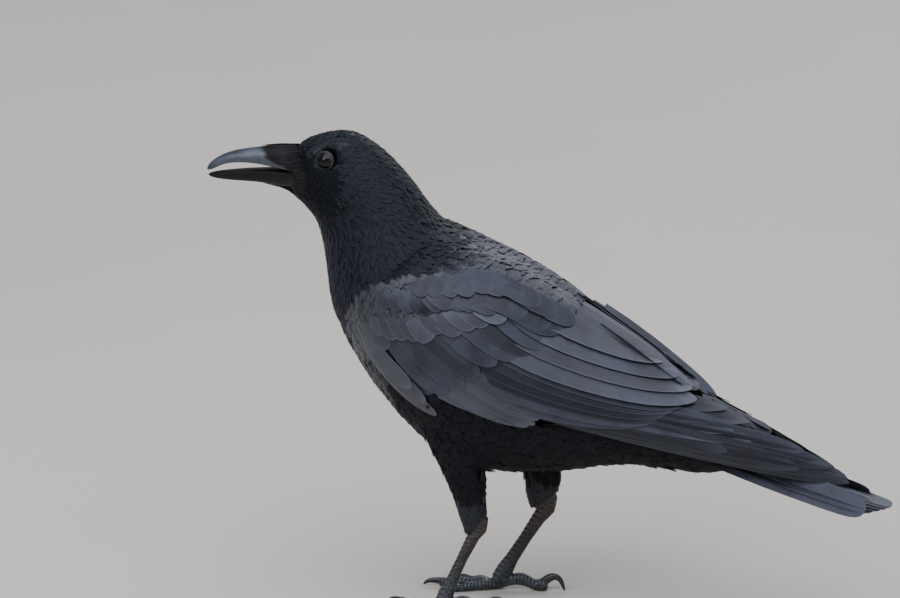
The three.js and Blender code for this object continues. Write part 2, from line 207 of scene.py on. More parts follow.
def featherMaterial(name):
    # a close-set vane: a soft gloss over near-black barbs, a painted highlight on its rim and tip, and a dark shaft
    material, tree, shader = startMaterial(name)
    look = dict(zip(lookWords, featherLooks[name]))
    tone, along, across, barb = (addNode(tree, "Attribute", "Fac", {"attribute_name": word})
                                 for word in ("tone", "along", "across", "barb"))
    if name in ("quillFeather", "flightFeather"):
        place = addNode(tree, "TexCoord", "Object", {})
        wear = addNode(tree, "TexNoise", "Fac", {"Scale": 34.0, "Detail": 5.0, "Vector": place})
        ground = addNode(tree, "ValToRGB", "Color", {"Fac": wear}, featherSet["flight"])
    else:
        ground = plumageColour(tree)
    if name == "bristleFeather":
        ground = addNode(tree, "Mix", 2, {**blended, 0: 0.75, 6: ground, 7: plumageSet["brown"]})
    dimmest, brightest = look["range"]
    level = addNode(tree, "Math", 0, {"operation": "MULTIPLY_ADD", 0: tone, 1: brightest - dimmest, 2: dimmest})
    toned = addNode(tree, "Mix", 2, {**multiplied, 6: ground, 7: level})
    side = addNode(tree, "Math", 0, {"operation": "ABSOLUTE", 0: across})
    ahead = addNode(tree, "Math", 0, {"operation": "MULTIPLY", 0: along, 1: 0.985})
    outer = addNode(tree, "Math", 0, {"operation": "MAXIMUM", 0: side, 1: ahead})
    # painted highlight: paler towards the vane's edges and tip
    rim = addNode(tree, "MapRange", "Result",
                  {"Value": outer, "From Min": 0.86, "From Max": 0.98, "To Max": look["rim"]})
    shaft = addNode(tree, "MapRange", "Result",
                    {"Value": side, "From Min": 0.06, "From Max": 0.0, "To Max": look["shaft"]})
    lit = addNode(tree, "Mix", 2, {**blended, 0: rim, 6: toned, 7: featherSet["rim"]})
    wave = addNode(tree, "Math", 0, {"operation": "MULTIPLY", 0: barb, 1: 2 * pi / featherSet["barbWidth"]})
    ridges = addNode(tree, "Math", 0, {"operation": "SINE", 0: wave})
    faint = addNode(tree, "Math", 0, {"operation": "MULTIPLY", 0: ridges, 1: 0.2})
    clumps = addNode(tree, "TexNoise", "Fac", {"noise_dimensions": "1D", "Scale": 1.6, "Detail": 3.0, "W": barb})
    relief = addNode(tree, "Math", 0, {"operation": "ADD", 0: faint, 1: clumps})
    feed(tree, shader, {
        "Base Color": addNode(tree, "Mix", 2, {**blended, 0: shaft, 6: lit, 7: featherSet["shaft"]}),
        "Normal": addNode(tree, "Bump", "Normal", {"Strength": look["relief"], "Distance": 0.0003, "Height": relief}),
        "Roughness": addNode(tree, "MapRange", "Result",
                             {"Value": tone, "To Min": look["rough"][0], "To Max": look["rough"][1]}),
        "Specular IOR Level": look["specular"], "Specular Tint": featherSet["gloss"],
        "Sheen Weight": look["sheen"], "Sheen Roughness": 0.45, "Sheen Tint": featherSet["sheen"],
    })
    return material


legColours = {  # up the leg: slate toes, their blue-grey partly a painted highlight on their scales, a nearly black shank, a brown heel joint
    "height": 0.07, "stops": [(0.1, "#474c50"), (0.3, "#3c3f42"), (0.5, "#2f2e2b"), (0.82, "#493c37")],
    "mottle": "#1a1a1c", "seam": "#060607", "scales": 560,
}


def skinMaterial():
    # the dark down that shows between the feathers, and scaly skin on the shank and toes
    material, tree, shader = startMaterial("downAndScales")
    place = addNode(tree, "TexCoord", "Object", {})
    leg, front, plates = (addNode(tree, "Attribute", "Fac", {"attribute_name": word})
                          for word in ("scaly", "front", "plates"))
    # broad plates in front, small round scales elsewhere, dark seams between both
    share = addNode(tree, "Math", 0, {"operation": "FRACT", 0: plates})
    centred = addNode(tree, "Math", 0, {"operation": "SUBTRACT", 0: share, 1: 0.5})
    plateEdge = addNode(tree, "Math", 0, {"operation": "ABSOLUTE", 0: centred})
    plateSeam = addNode(tree, "MapRange", "Result", {"Value": plateEdge, "From Min": 0.34, "From Max": 0.47})
    scaleEdge = addNode(tree, "TexVoronoi", "Distance",
                        {"feature": "DISTANCE_TO_EDGE", "Scale": legColours["scales"], "Vector": place})
    scaleSeam = addNode(tree, "MapRange", "Result",
                        {"Value": scaleEdge, "From Min": 0.03, "From Max": 0.2, "To Min": 1.0, "To Max": 0.0})
    seam = addNode(tree, "Mix", 0, {"data_type": "FLOAT", 0: front, 2: scaleSeam, 3: plateSeam})
    mottled = addNode(tree, "TexNoise", "Fac", {"Scale": 320.0, "Detail": 5.0, "Vector": place})
    height = addNode(tree, "SeparateXYZ", "Z", {"Vector": place})
    high = addNode(tree, "MapRange", "Result", {"Value": height, "From Max": legColours["height"]})
    tinted = addNode(tree, "ValToRGB", "Color", {"Fac": high}, legColours["stops"])
    spots = addNode(tree, "ValToRGB", "Color", {"Fac": mottled}, [(0.35, "#5a5a5a"), (0.7, "#000000")])
    spotted = addNode(tree, "Mix", 2, {**blended, 0: spots, 6: tinted, 7: legColours["mottle"]})
    grooved = addNode(tree, "Mix", 2, {**blended, 0: seam, 6: spotted, 7: legColours["seam"]})
    down = addNode(tree, "TexNoise", "Fac", {"Scale": 900.0, "Detail": 3.0, "Vector": place})
    raised = addNode(tree, "Math", 0, {"operation": "SUBTRACT", 0: 1.0, 1: seam})
    relief = addNode(tree, "Mix", 0, {"data_type": "FLOAT", 0: leg, 2: down, 3: raised})
    feed(tree, shader, {
        "Base Color": addNode(tree, "Mix", 2, {**blended, 0: leg, 6: plumageColour(tree), 7: grooved}),
        "Normal": addNode(tree, "Bump", "Normal", {"Strength": 0.7, "Distance": 0.0004, "Height": relief}),
        "Roughness": addNode(tree, "MapRange", "Result", {"Value": leg, "To Min": 0.75, "To Max": 0.36}),
    })
    return material


hornLooks = {  # dark, middle and pale colour, roughness, specular, how the growth fibres are stretched
    # the upper bill's slate and pale colours are a painted reflection of the light from above on its black horn
    "skyLitBill": ("#1c1f25", "#383e49", "#596271", 0.36, 0.6, (0.25, 1, 1)),
    "blackBill": ("#060607", "#0b0b0d", "#111113", 0.42, 0.25, (0.25, 1, 1)),
    "blackClaw": ("#0f0f11", "#26262a", "#38383c", 0.3, 0.6, (1, 1, 1)),
}


def hornMaterial(name):
    # polished keratin: growth fibres along it, fine scratches, a satin gloss
    material, tree, shader = startMaterial(name)
    dark, mid, pale, roughness, specular, fibre = hornLooks[name]
    place = addNode(tree, "TexCoord", "Object", {})
    stretched = addNode(tree, "Mapping", "Vector", {"Vector": place, "Scale": fibre})
    streaks = addNode(tree, "TexNoise", "Fac", {"Scale": 260.0, "Detail": 6.0, "Vector": stretched})
    clouds = addNode(tree, "TexNoise", "Fac", {"Scale": 90.0, "Detail": 3.0, "Vector": place})
    fibres = addNode(tree, "ValToRGB", "Color", {"Fac": streaks}, [(0.3, dark), (0.7, mid)])
    cloudy = addNode(tree, "ValToRGB", "Color", {"Fac": clouds}, [(0.35, dark), (0.7, pale)])
    feed(tree, shader, {
        "Base Color": addNode(tree, "Mix", 2, {**blended, 0: 0.5, 6: fibres, 7: cloudy}),
        "Normal": addNode(tree, "Bump", "Normal", {"Strength": 0.2, "Distance": 0.0002, "Height": streaks}),
        "Roughness": addNode(tree, "MapRange", "Result",
                             {"Value": streaks, "To Min": roughness - 0.06, "To Max": roughness + 0.1}),
        "Specular IOR Level": specular,
    })
    return material


def eyeMaterial():
    # wet dark eye: a black pupil in a deep brown iris, under a clear glossy cornea
    material, tree, shader = startMaterial("wetEye")
    off = addNode(tree, "Attribute", "Fac", {"attribute_name": "gaze"})
    place = addNode(tree, "TexCoord", "Object", {})
    fibres = addNode(tree, "TexNoise", "Fac", {"Scale": 900.0, "Detail": 4.0, "Vector": place})
    iris = addNode(tree, "ValToRGB", "Color", {"Fac": fibres}, [(0.3, "#080506"), (0.7, "#17100c")])
    rings = addNode(tree, "ValToRGB", "Color", {"Fac": off},
                    [(0.0, "#020202"), (0.36, "#020202"), (0.42, "#d0d0d0"), (0.58, "#d0d0d0"), (0.68, "#0a0808")])
    feed(tree, shader, {
        "Base Color": addNode(tree, "Mix", 2, {**multiplied, 6: iris, 7: rings}), "Roughness": 0.3,
        "Specular IOR Level": 0.1, "Coat Weight": 0.42, "Coat Roughness": 0.02,
    })
    return material


def lidMaterial():
    # bare eyelid: grey wrinkled skin, with a painted highlight on its outer fold and at its rim
    material, tree, shader = startMaterial("eyelidSkin")
    place = addNode(tree, "TexCoord", "Object", {})
    pores = addNode(tree, "TexVoronoi", "Distance", {"Scale": 1700.0, "Vector": place})
    fold = addNode(tree, "Attribute", "Fac", {"attribute_name": "fold"})
    grey = addNode(tree, "ValToRGB", "Color", {"Fac": pores}, [(0.0, "#23262a"), (0.6, "#4a4f57")])
    # fold carries the painted highlight: grey on the lid's outer fold and rim, near black elsewhere
    feed(tree, shader, {
        "Base Color": addNode(tree, "Mix", 2, {**blended, 0: fold, 6: "#0b0b0d", 7: grey}), "Roughness": 0.45,
        "Normal": addNode(tree, "Bump", "Normal", {"Strength": 0.5, "Distance": 0.0002, "Height": pores}),
    })
    return material


def floorMaterial():
    # plain matt studio floor
    material, tree, shader = startMaterial("studioFloor")
    place = addNode(tree, "TexCoord", "Object", {})
    cloud = addNode(tree, "TexNoise", "Fac", {"Scale": 2.0, "Detail": 3.0, "Vector": place})
    pale = addNode(tree, "ValToRGB", "Color", {"Fac": cloud}, [(0.3, "#cfc8bc"), (0.7, "#d6cfc4")])
    feed(tree, shader, {"Base Color": pale, "Roughness": 0.9})
    return material


vanes = {name: featherMaterial(name) for name in featherLooks}
downSkin = skinMaterial()
upperHorn, lowerHorn, clawHorn = (hornMaterial(name) for name in hornLooks)
wetEye = eyeMaterial()
lidSkin = lidMaterial()
print("materials ready")


def linkPiece(name, mesh, material, slot, *replaced):
    piece = bpy.data.objects.new(name, mesh)
    bpy.context.collection.objects.link(piece)
    piece.data.materials.append(material)
    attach(piece, "root")
    if replaced:
        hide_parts(*replaced)
    return piece


def pieceFrom(bm, name, material, slot, *replaced):
    mesh = bpy.data.meshes.new(name)
    bm.to_mesh(mesh)
    bm.free()
    mesh.shade_smooth()
    return linkPiece(name, mesh, material, slot, *replaced)


def addSubdivision(piece, levels):
    smoother = piece.modifiers.new("smooth", "SUBSURF")
    smoother.levels = smoother.render_levels = levels


def giveValues(mesh, values):
    for name, numbers in values.items():
        mesh.attributes.new(name, "FLOAT", "POINT").data.foreach_set("value", np.array(numbers, np.float32))


def ringTube(bm, count, around, placeOf, closed=True):
    # rings bridged one to the next; placeOf says where a point of a ring lies, in mm
    rings, previous = [], None
    for i in range(count):
        ring = bmesh.ops.create_circle(bm, segments=around, radius=1)["verts"]
        for v in ring:
            v.co = placeOf(i, v.co) * mm
        edges = {e for v in ring for e in v.link_edges}
        if previous:
            bmesh.ops.bridge_loops(bm, edges=list(previous | edges))
        previous = edges
        rings.append(ring)
    if closed:
        for end in (rings[0], rings[-1]):
            bmesh.ops.contextual_create(bm, geom=end)


def mirrored(place, sign):
    return place[0], place[1] * sign, place[2]


formSet = {
    "voxel": 1.8, "rounds": 16, "swell": 0.4,  # mm
    "thin": 125,  # mm; below that height the form's parts are thin, and are swollen again to keep their size
    "smooth": 0.5, "fill": 0.52,
    "sink": (1.05, 0.2),  # how deep the skin lies: times the plumage's depth, and as much more (mm)
    "crumb": 600,  # points; a bubble with fewer is dropped
}


def cadShell(names, voxel, rounds, swell):
    # a single smooth shell round the named solids, which are first swollen a little so that they meet
    bm = bmesh.new()
    for name in names:
        bm.from_mesh(nodes[name].data)
    bmesh.ops.remove_doubles(bm, verts=bm.verts, dist=1e-6)
    bm.normal_update()
    swollen = [v.co + v.normal * swell * mm for v in bm.verts]
    for v, place in zip(bm.verts, swollen):
        v.co = place
    return melted(bm, voxel, rounds)


def melted(overlapping, voxel, rounds):
    # voxels turn overlapping solids into one skin, which is then smoothed
    rough = bpy.data.objects.new("rough", bpy.data.meshes.new("rough"))
    overlapping.to_mesh(rough.data)
    overlapping.free()
    bpy.context.collection.objects.link(rough)
    remesh = rough.modifiers.new("voxels", "REMESH")
    remesh.mode, remesh.voxel_size = "VOXEL", voxel * mm
    done = bpy.data.meshes.new_from_object(rough.evaluated_get(bpy.context.evaluated_depsgraph_get()))
    bpy.data.objects.remove(rough)
    bm = bmesh.new()
    bm.from_mesh(done)
    bpy.data.meshes.remove(done)
    dropCrumbs(bm)
    everyWay = {"use_axis_x": True, "use_axis_y": True, "use_axis_z": True}
    low = [v for v in bm.verts if v.co.z < formSet["thin"] * mm]
    for _ in range(rounds):
        bmesh.ops.smooth_vert(bm, verts=bm.verts, factor=formSet["smooth"], **everyWay)
        bmesh.ops.smooth_vert(bm, verts=low, factor=-formSet["fill"], **everyWay)
    bm.normal_update()
    return bm


def dropCrumbs(bm):
    # the small closed bubbles that the remesh can leave behind
    found = set()
    for start in list(bm.verts):
        if start in found:
            continue
        island, queue = [start], [start]
        found.add(start)
        while queue:
            for edge in queue.pop().link_edges:
                for other in edge.verts:
                    if other not in found:
                        found.add(other)
                        island.append(other)
                        queue.append(other)
        if len(island) < formSet["crumb"]:
            bmesh.ops.delete(bm, geom=island, context="VERTS")


# how the plumage lies: place, way it points, length, half width, spacing, depth (mm)
tracts = [
    ((-156, 5, 293), (1, .15, .3), 5, 1.1, 1.5, 0.8), ((-153, 13, 282), (1, .45, .05), 4.5, 0.7, 1, 0.6),
    ((-146, 15, 295), (1, .2, .25), 4.5, 1.1, 1.4, 0.7), ((-160, 3, 262), (.75, .15, -.65), 7, 1, 1.3, 0.9),
    ((-130, 6, 302), (1, .02, 0), 7, 1.8, 1.9, 1.1), ((-114, 8, 296), (.85, .02, -.5), 9, 2, 2.2, 1.4),
    ((-140, 19, 272), (.95, .15, -.2), 6, 1, 1.3, 0.9), ((-122, 22, 277), (.9, .1, -.4), 8, 1.3, 1.4, 1.1),
    ((-148, 14, 258), (.75, .15, -.65), 8, 1.2, 1.3, 1.1), ((-143, 8, 240), (.35, .12, -.93), 12, 1.3, 1.6, 1.8),
    ((-137, 10, 212), (.15, .1, -.98), 15, 1.6, 1.9, 2.2), ((-110, 30, 240), (.5, .12, -.86), 13, 1.6, 1.9, 1.9),
    ((-100, 12, 285), (.72, .05, -.7), 11, 1.8, 1.9, 1.7), ((-80, 18, 262), (.75, .08, -.66), 13, 2.8, 3, 2),
    ((-58, 15, 240), (.88, .02, -.47), 13, 3.6, 3.9, 2.9), ((-90, 42, 210), (.6, .05, -.8), 13, 2.9, 3.1, 2),
    ((-20, 12, 224), (.92, .02, -.4), 15, 4.8, 5, 2.9), ((30, 10, 195), (.86, 0, -.5), 19, 6.4, 6.4, 3.2),
    ((84, 6, 146), (.85, 0, -.52), 22, 7, 7, 2.2), ((112, 6, 122), (.92, .02, -.38), 26, 7, 7, 1.6),
    ((-130, 10, 178), (.3, .06, -.95), 18, 3.2, 3.2, 2.6), ((-105, 42, 170), (.5, .02, -.86), 18, 3.6, 3.5, 2.4),
    ((-95, 10, 125), (.75, .02, -.62), 22, 3.7, 3.7, 2.8), ((-60, 42, 130), (.8, -.02, -.55), 22, 3.9, 3.8, 2.6),
    ((-30, 8, 91), (.98, 0, -.12), 24, 3.6, 3.7, 3), ((10, 38, 115), (.92, -.03, -.35), 26, 4.2, 4.2, 2.6),
    ((45, 8, 92), (1, 0, .02), 24, 3.9, 4, 2.6), ((90, 6, 92), (1, .02, -.05), 28, 5.4, 5.8, 1.8),
    ((90, 25, 110), (.95, 0, -.2), 24, 5.4, 5.8, 1.8),
    # the shoulder and wing: tiny scales at the bend, large rounded ones further back
    ((-116, 47, 186), (.85, 0, -.5), 7, 2.6, 2.8, 1), ((-122, 44, 172), (.7, 0, -.7), 8, 2.6, 2.8, 1),
    ((-92, 52, 196), (.93, 0, -.36), 9, 3.8, 4, 1.2), ((-98, 54, 176), (.88, 0, -.45), 9, 3.6, 3.8, 1.2),
    ((-60, 52, 206), (.95, 0, -.3), 17, 7.4, 7, 2.3), ((-60, 58, 180), (.92, 0, -.38), 15, 6.6, 6.2, 1.6),
    ((-20, 48, 200), (.93, 0, -.36), 21, 8, 8, 2.5), ((20, 46, 180), (.9, 0, -.42), 26, 8, 9, 1.7),
]
legTracts = [
    ((-54, -24, 102), (.1, 0, -1), 17, 3.0, 3.2, 1.5), ((-45, -24, 70), (.1, 0, -1), 11, 2.0, 2.4, .9),
    ((-16, 24, 102), (.1, 0, -1), 17, 3.0, 3.2, 1.5), ((-8, 24, 70), (.05, 0, -1), 11, 2.0, 2.4, .9),
]


def gatherTracts():
    both = []
    for place, way, *sizes in tracts:
        for sign in (-1, 1):
            both.append([*mirrored(place, sign), *mirrored(way, sign), *sizes])
    both += [[*place, *way, *sizes] for place, way, *sizes in legTracts]
    table = np.array(both, dtype=float)
    table[:, 3:6] /= np.linalg.norm(table[:, 3:6], axis=1)[:, None]
    return table


tractTable = gatherTracts()
tractReach, tractFall = 16, 2.2  # how softly, and how steeply, one tract gives way to the next


def lieOf(points):
    # the blended way, length, half width, spacing and depth at each point, in metres
    gap = np.asarray(points)[:, None, :] / mm - tractTable[None, :, :3]
    weight = 1 / ((gap ** 2).sum(2) + tractReach) ** tractFall
    blend = weight @ tractTable[:, 3:] / weight.sum(1)[:, None]
    way = blend[:, :3] / np.linalg.norm(blend[:, :3], axis=1)[:, None]
    return way, blend[:, 3:] * mm


# the bird's outer form, on which all feathers are laid
wingNodes = {side: ["wing_%s_%s" % (side, group) for group in ("scapulars", "coverts", "secondaries", "primaries")]
             for side in sides}
fleshNodes = ["head", "neck", "trunk", "thigh_left", "thigh_right"]
shellSizes = formSet["voxel"], formSet["rounds"], formSet["swell"]
formBm = cadShell(fleshNodes + wingNodes["left"] + wingNodes["right"], *shellSizes)
formTree = BVHTree.FromBMesh(formBm)
formBm.verts.ensure_lookup_table()
bmesh.ops.triangulate(formBm, faces=formBm.faces)
formPoints = np.array([v.co[:] for v in formBm.verts])
formFaces = np.array([[v.index for v in f.verts] for f in formBm.faces])
formBm.free()
print("form", len(formPoints), "points")


# the smooth surface that the folded wing's long feathers lie on
wingForm = {
    "rings": [  # back x z, front x z, half width, from the neck to past the wing's tip (mm)
        (-85.8, 270.7, -137.5, 211.2, 35.5), (-64.3, 247.2, -133.5, 189.6, 46.5), (-32.5, 230.8, -120.3, 160.4, 55),
        (1.4, 213.6, -93.5, 122, 58.5), (34.5, 190.2, -51.7, 91, 54), (65.5, 168.5, 2.8, 88.6, 45),
        (91, 149, 48.4, 96.2, 38.5), (114.5, 136, 101, 97, 31.5), (133, 127, 125, 90, 25.5),
        (160, 113.8, 153, 78, 17.5), (192, 94.5, 188, 66, 6.5), (214, 81, 211, 56, 4),
    ],
    "steps": 90, "around": 72, "rounds": 14,
}


def smoothAlong(table):
    # one round of smoothing along a table, its ends kept
    table[1:-1] = (table[:-2] + table[1:-1] * 2 + table[2:]) / 4


def foldedWing():
    table = np.array(wingForm["rings"])
    spots = np.linspace(0, len(table) - 1, wingForm["steps"])
    table = np.stack([np.interp(spots, range(len(table)), column) for column in table.T], 1)
    for _ in range(wingForm["rounds"]):
        smoothAlong(table)

    def placeOf(i, spot):
        backX, backZ, frontX, frontZ, half = table[i]
        return Vector(((backX + frontX + (backX - frontX) * spot.x) / 2, half * spot.y,
                       (backZ + frontZ + (backZ - frontZ) * spot.x) / 2))

    bm = bmesh.new()
    ringTube(bm, len(table), wingForm["around"], placeOf, closed=False)
    bmesh.ops.recalc_face_normals(bm, faces=bm.faces)
    tree = BVHTree.FromBMesh(bm)
    bm.free()
    return tree


wingTree = foldedWing()


# the skin is one shell under the plumage, with bare scaly shanks and toes
legSet = {  # mm
    "scute": {"shank": 3.4, "toe": 2.3}, "rise": 0.5, "around": 14, "voxel": 0.6, "rounds": 3,
    # the shin inside the plumage, the heel joint, the shank and the foot: place, half width, half depth
    "left": [((-44.8, -24.2, 80), 3.0, 3.6), ((-42.4, -24.4, 69), 3.2, 4.2), ((-39.4, -24.5, 61), 3.8, 5.2),
             ((-40.2, -24.5, 55.5), 3.8, 5.0), ((-43.8, -24.6, 50), 3.1, 4.0), ((-51.0, -24.9, 35), 2.5, 3.3),
             ((-57.6, -25.2, 20), 2.8, 3.7), ((-60.8, -25.4, 12), 3.6, 4.8), ((-62.6, -25.5, 7), 4.4, 5.4),
             ((-63, -25.5, 4.3), 4.8, 4.2)],
    "right": [((-6.0, 24.0, 80), 3.4, 4.2), ((-4.4, 24.2, 69), 3.6, 4.9), ((-2.4, 24.5, 61), 4.0, 5.6),
              ((-4.0, 24.5, 55), 4.0, 5.4), ((-9.4, 24.6, 48), 3.3, 4.4), ((-17.4, 24.9, 35), 2.8, 3.8),
              ((-26, 25.2, 21), 3.1, 4.2), ((-30.6, 25.4, 13), 4.0, 5.3), ((-33.4, 25.5, 7.4), 4.8, 5.6),
              ((-34.4, 25.5, 4.3), 5.0, 4.2)],
    "shank": (2, 8),  # from which to which of these places the plates run
    "foot": {"left": (-63.5, -25.5), "right": (-34.5, 25.5)},
    # where the thigh's feathers end in front: x, z, slope
    "feathered": {"left": (-48.1, 52, 0.92), "right": (-11.7, 56.5, 0.65)},
    # turn in degrees, length, size, taper, joints, claw length, claw arch, claw half depth
    "toes": {"inner": (-22, 26, 0.94, 0.26, 2, 11, 1.2, 2.2), "middle": (0, 36, 1.0, 0.28, 3, 12, 1.3, 2.3),
             "outer": (21, 29, 0.88, 0.26, 3, 10, 1.2, 2.1), "hind": (180, 28.5, 1.0, 0.03, 2, 13.4, 7.2, 3.1)},
    "padRadius": 3.8, "knuckle": 0.1, "hindArch": 3.2, "toeSteps": 16, "toeWidth": 0.92, "floorGap": 0.02,
    "toeEnd": (0.6, 0.72, 0.8),  # the blunt end's length, half width and half depth, for each mm of the last ring
    # how sharply the plates keep to the front, how much of their relief goes round the sides, their hollow
    "plateEdge": (2.2, 0.1), "plateRelief": (0.15, 0.85), "plateHollow": 0.6,
    "clawSteps": 10, "clawAround": 12, "clawOverlap": 2.5, "clawRoot": 2.9, "clawTip": 0.7, "clawPoint": 0.18,
    "clawWidth": 0.72,
}


def featherEdge(x, y):
    # the height that the thigh's feathers reach down to
    ends = zip(legSet["feathered"]["left"], legSet["feathered"]["right"])
    frontX, frontZ, slope = (np.where(y < 0, left, right) for left, right in ends)
    return (frontZ + slope * (x / mm - frontX)) * mm


def sweep(bm, spots, sizes, around):
    # a closed tube through the spots, each ring square to the way it runs
    turns = []
    for i in range(len(spots)):
        ahead = (spots[min(i + 1, len(spots) - 1)] - spots[max(i - 1, 0)]).normalized()
        turns.append(ahead.to_track_quat("Z", "Y").to_matrix())

    def placeOf(i, spot):
        return spots[i] + turns[i] @ Vector((spot.x * sizes[i][0], spot.y * sizes[i][1], 0))

    ringTube(bm, len(spots), around, placeOf)


def toeWay(side, toe):
    turned = radians(legSet["toes"][toe][0])
    return Vector((-cos(turned), sin(turned) * -sides[side], 0))


def toeLine(side, toe):
    # the toe's middle line and sizes: knuckles and pads swell along it, the sole stays on the floor
    _, length, size, taper, joints, _, _, _ = legSet["toes"][toe]
    start = Vector((*legSet["foot"][side], 0))
    spots, sizes = [], []
    for i in range(legSet["toeSteps"] + 1):
        s = i / legSet["toeSteps"]
        radius = legSet["padRadius"] * size * (1 - taper * s) * (1 + legSet["knuckle"] * cos(2 * pi * joints * s))
        arch = legSet["hindArch"] * sin(pi * min(s * 1.2, 1)) if toe == "hind" else 0
        spots.append(start + toeWay(side, toe) * length * s + Vector((0, 0, radius + arch)))
        sizes.append((radius * legSet["toeWidth"], radius))
    reach, half, deep = legSet["toeEnd"]
    spots.append(spots[-1] + toeWay(side, toe) * radius * reach)
    sizes.append((radius * half, radius * deep))
    return spots, sizes


def makeLegs():
    # both legs as swept tubes, melted into one smooth shell
    bm = bmesh.new()
    for side in sides:
        spots = [Vector(spot) for spot, _, _ in legSet[side]]
        sweep(bm, spots, [sizes for _, *sizes in legSet[side]], legSet["around"])
        for toe in legSet["toes"]:
            sweep(bm, *toeLine(side, toe), legSet["around"])
    bmesh.ops.recalc_face_normals(bm, faces=bm.faces)
    return melted(bm, legSet["voxel"], legSet["rounds"])


def scuteSteps(legs):
    # broad plates step down the front of the shank and along the top of each toe
    lines = []
    first, last = legSet["shank"]
    for side in sides:
        shank = [Vector(spot) * mm for spot, _, _ in legSet[side]]
        lines.append(("shank", shank[first], shank[last]))
        for toe in legSet["toes"]:
            spots, _ = toeLine(side, toe)
            lines.append(("toe", spots[0] * mm, spots[-1] * mm))
    gain, shift = legSet["plateEdge"]
    around, ahead = legSet["plateRelief"]
    plates, fronts = [], []
    for v in legs.verts:
        best = None
        for kind, start, end in lines:
            along = end - start
            share = min(max((v.co - start).dot(along) / along.length_squared, 0), 1)
            gap = (v.co - start - along * share).length
            if best is None or gap < best[0]:
                best = (gap, kind, share * along.length)
        _, kind, run = best
        period = legSet["scute"][kind] * mm
        front = -v.normal.x if kind == "shank" else v.normal.z
        face = min(max(front * gain + shift, 0), 1)
        bulge = 1 - abs(2 * (run / period % 1) ** 0.7 - 1) ** 4
        v.co += v.normal * (bulge - legSet["plateHollow"]) * legSet["rise"] * mm * (around + ahead * face)
        v.co.z = max(v.co.z, legSet["floorGap"] * mm)
        plates.append(run / period)
        fronts.append(face)
    return plates, fronts


def makeSkin():
    body = cadShell(fleshNodes, *shellSizes)
    depth = lieOf([v.co[:] for v in body.verts])[1][:, 3]
    share, more = formSet["sink"]
    for v, deep in zip(body.verts, depth):
        v.co -= v.normal * (deep * share + more * mm)
    bodyMesh = bpy.data.meshes.new("body")
    body.to_mesh(bodyMesh)
    body.free()
    legs = makeLegs()
    plates, fronts = scuteSteps(legs)
    legs.from_mesh(bodyMesh)
    bpy.data.meshes.remove(bodyMesh)
    legNodes = ["tarsus_left", "foot_left", "tarsus_right", "foot_right"]
    skin = pieceFrom(legs, "skin", downSkin, "leg_skin", *fleshNodes, *legNodes)
    places = np.array([v.co for v in skin.data.vertices])
    bare = np.clip((featherEdge(places[:, 0], places[:, 1]) - places[:, 2]) / (2 * mm) + 0.5, 0, 1)
    bare[:len(plates)] = np.maximum(bare[:len(plates)], 0.6)
    rest = [0.0] * (len(places) - len(plates))
    giveValues(skin.data, {"scaly": bare, "plates": plates + rest, "front": fronts + rest})
    print("skin", len(skin.data.polygons), "faces")


makeSkin()


billSet = {  # top x z, bottom x z, half width, from the tip backwards (mm)
    "upper": [(-214.3, 274.2, -214.1, 273.6, 0.5), (-212.4, 278.2, -212.2, 273.9, 1.7),
              (-208.6, 281.2, -208, 275.9, 2.8),
              (-203.5, 284.2, -203.5, 278.5, 3.7), (-198, 286.2, -198, 279.9, 4.6), (-190, 288.1, -190, 280.6, 5.5),
              (-182, 289.3, -182, 280.4, 6.3), (-172, 290.6, -172, 279.0, 7.5), (-163, 290.2, -163, 277.6, 8.9),
              (-159.5, 282.5, -159.5, 277.2, 10.2), (-156, 280, -156, 276.9, 12.2),
              (-152.5, 278.9, -152.5, 276.6, 13.6), (-146, 279, -146, 276, 12)],
    "lower": [(-213.4, 270.9, -213.2, 269.6, 0.7), (-209, 272.2, -209, 268.2, 1.9), (-203, 272.9, -203, 267.7, 3.0),
              (-197, 273.5, -197, 267.4, 3.9), (-188, 274.3, -188, 267.2, 4.8), (-180, 274.7, -180, 266.9, 5.6),
              (-172, 274.8, -172, 265.6, 6.6), (-164, 275.0, -164, 264.4, 8.7), (-160, 275.3, -160, 265, 10.8),
              (-156, 275.8, -156, 266.4, 12.8), (-152.5, 276.2, -152.5, 268.5, 13.4), (-146, 276, -146, 270, 11.5)],
    "around": 28, "flanks": {"upper": 0.78, "lower": 0.7}, "cuttingEdge": 0.12,
}


def makeBill(name, material):
    def placeOf(i, spot):
        # an arch over a narrow cutting edge; the lower half is the same arch turned over and flatter
        topX, topZ, lowX, lowZ, half = billSet[name][i]
        edgeX, edgeZ, farX, farZ = (lowX, lowZ, topX, topZ) if name == "upper" else (topX, topZ, lowX, lowZ)
        angle = atan2(spot.y, spot.x)
        across, lift = cos(angle), sin(angle) if name == "upper" else -sin(angle)
        if lift >= 0:
            width = abs(across) ** billSet["flanks"][name]
            across, lift = width if across > 0 else -width, lift ** 0.92
        else:
            across, lift = across * (0.97 + 0.03 * lift), lift * billSet["cuttingEdge"]
        return Vector((edgeX + (farX - edgeX) * lift, half * across, edgeZ + (farZ - edgeZ) * lift))

    bm = bmesh.new()
    ringTube(bm, len(billSet[name]), billSet["around"], placeOf)
    bmesh.ops.recalc_face_normals(bm, faces=bm.faces)
    addSubdivision(pieceFrom(bm, "bill_%s_horn" % name, material, "bill", "bill_" + name), 2)


makeBill("upper", upperHorn)
makeBill("lower", lowerHorn)
print("bill made")


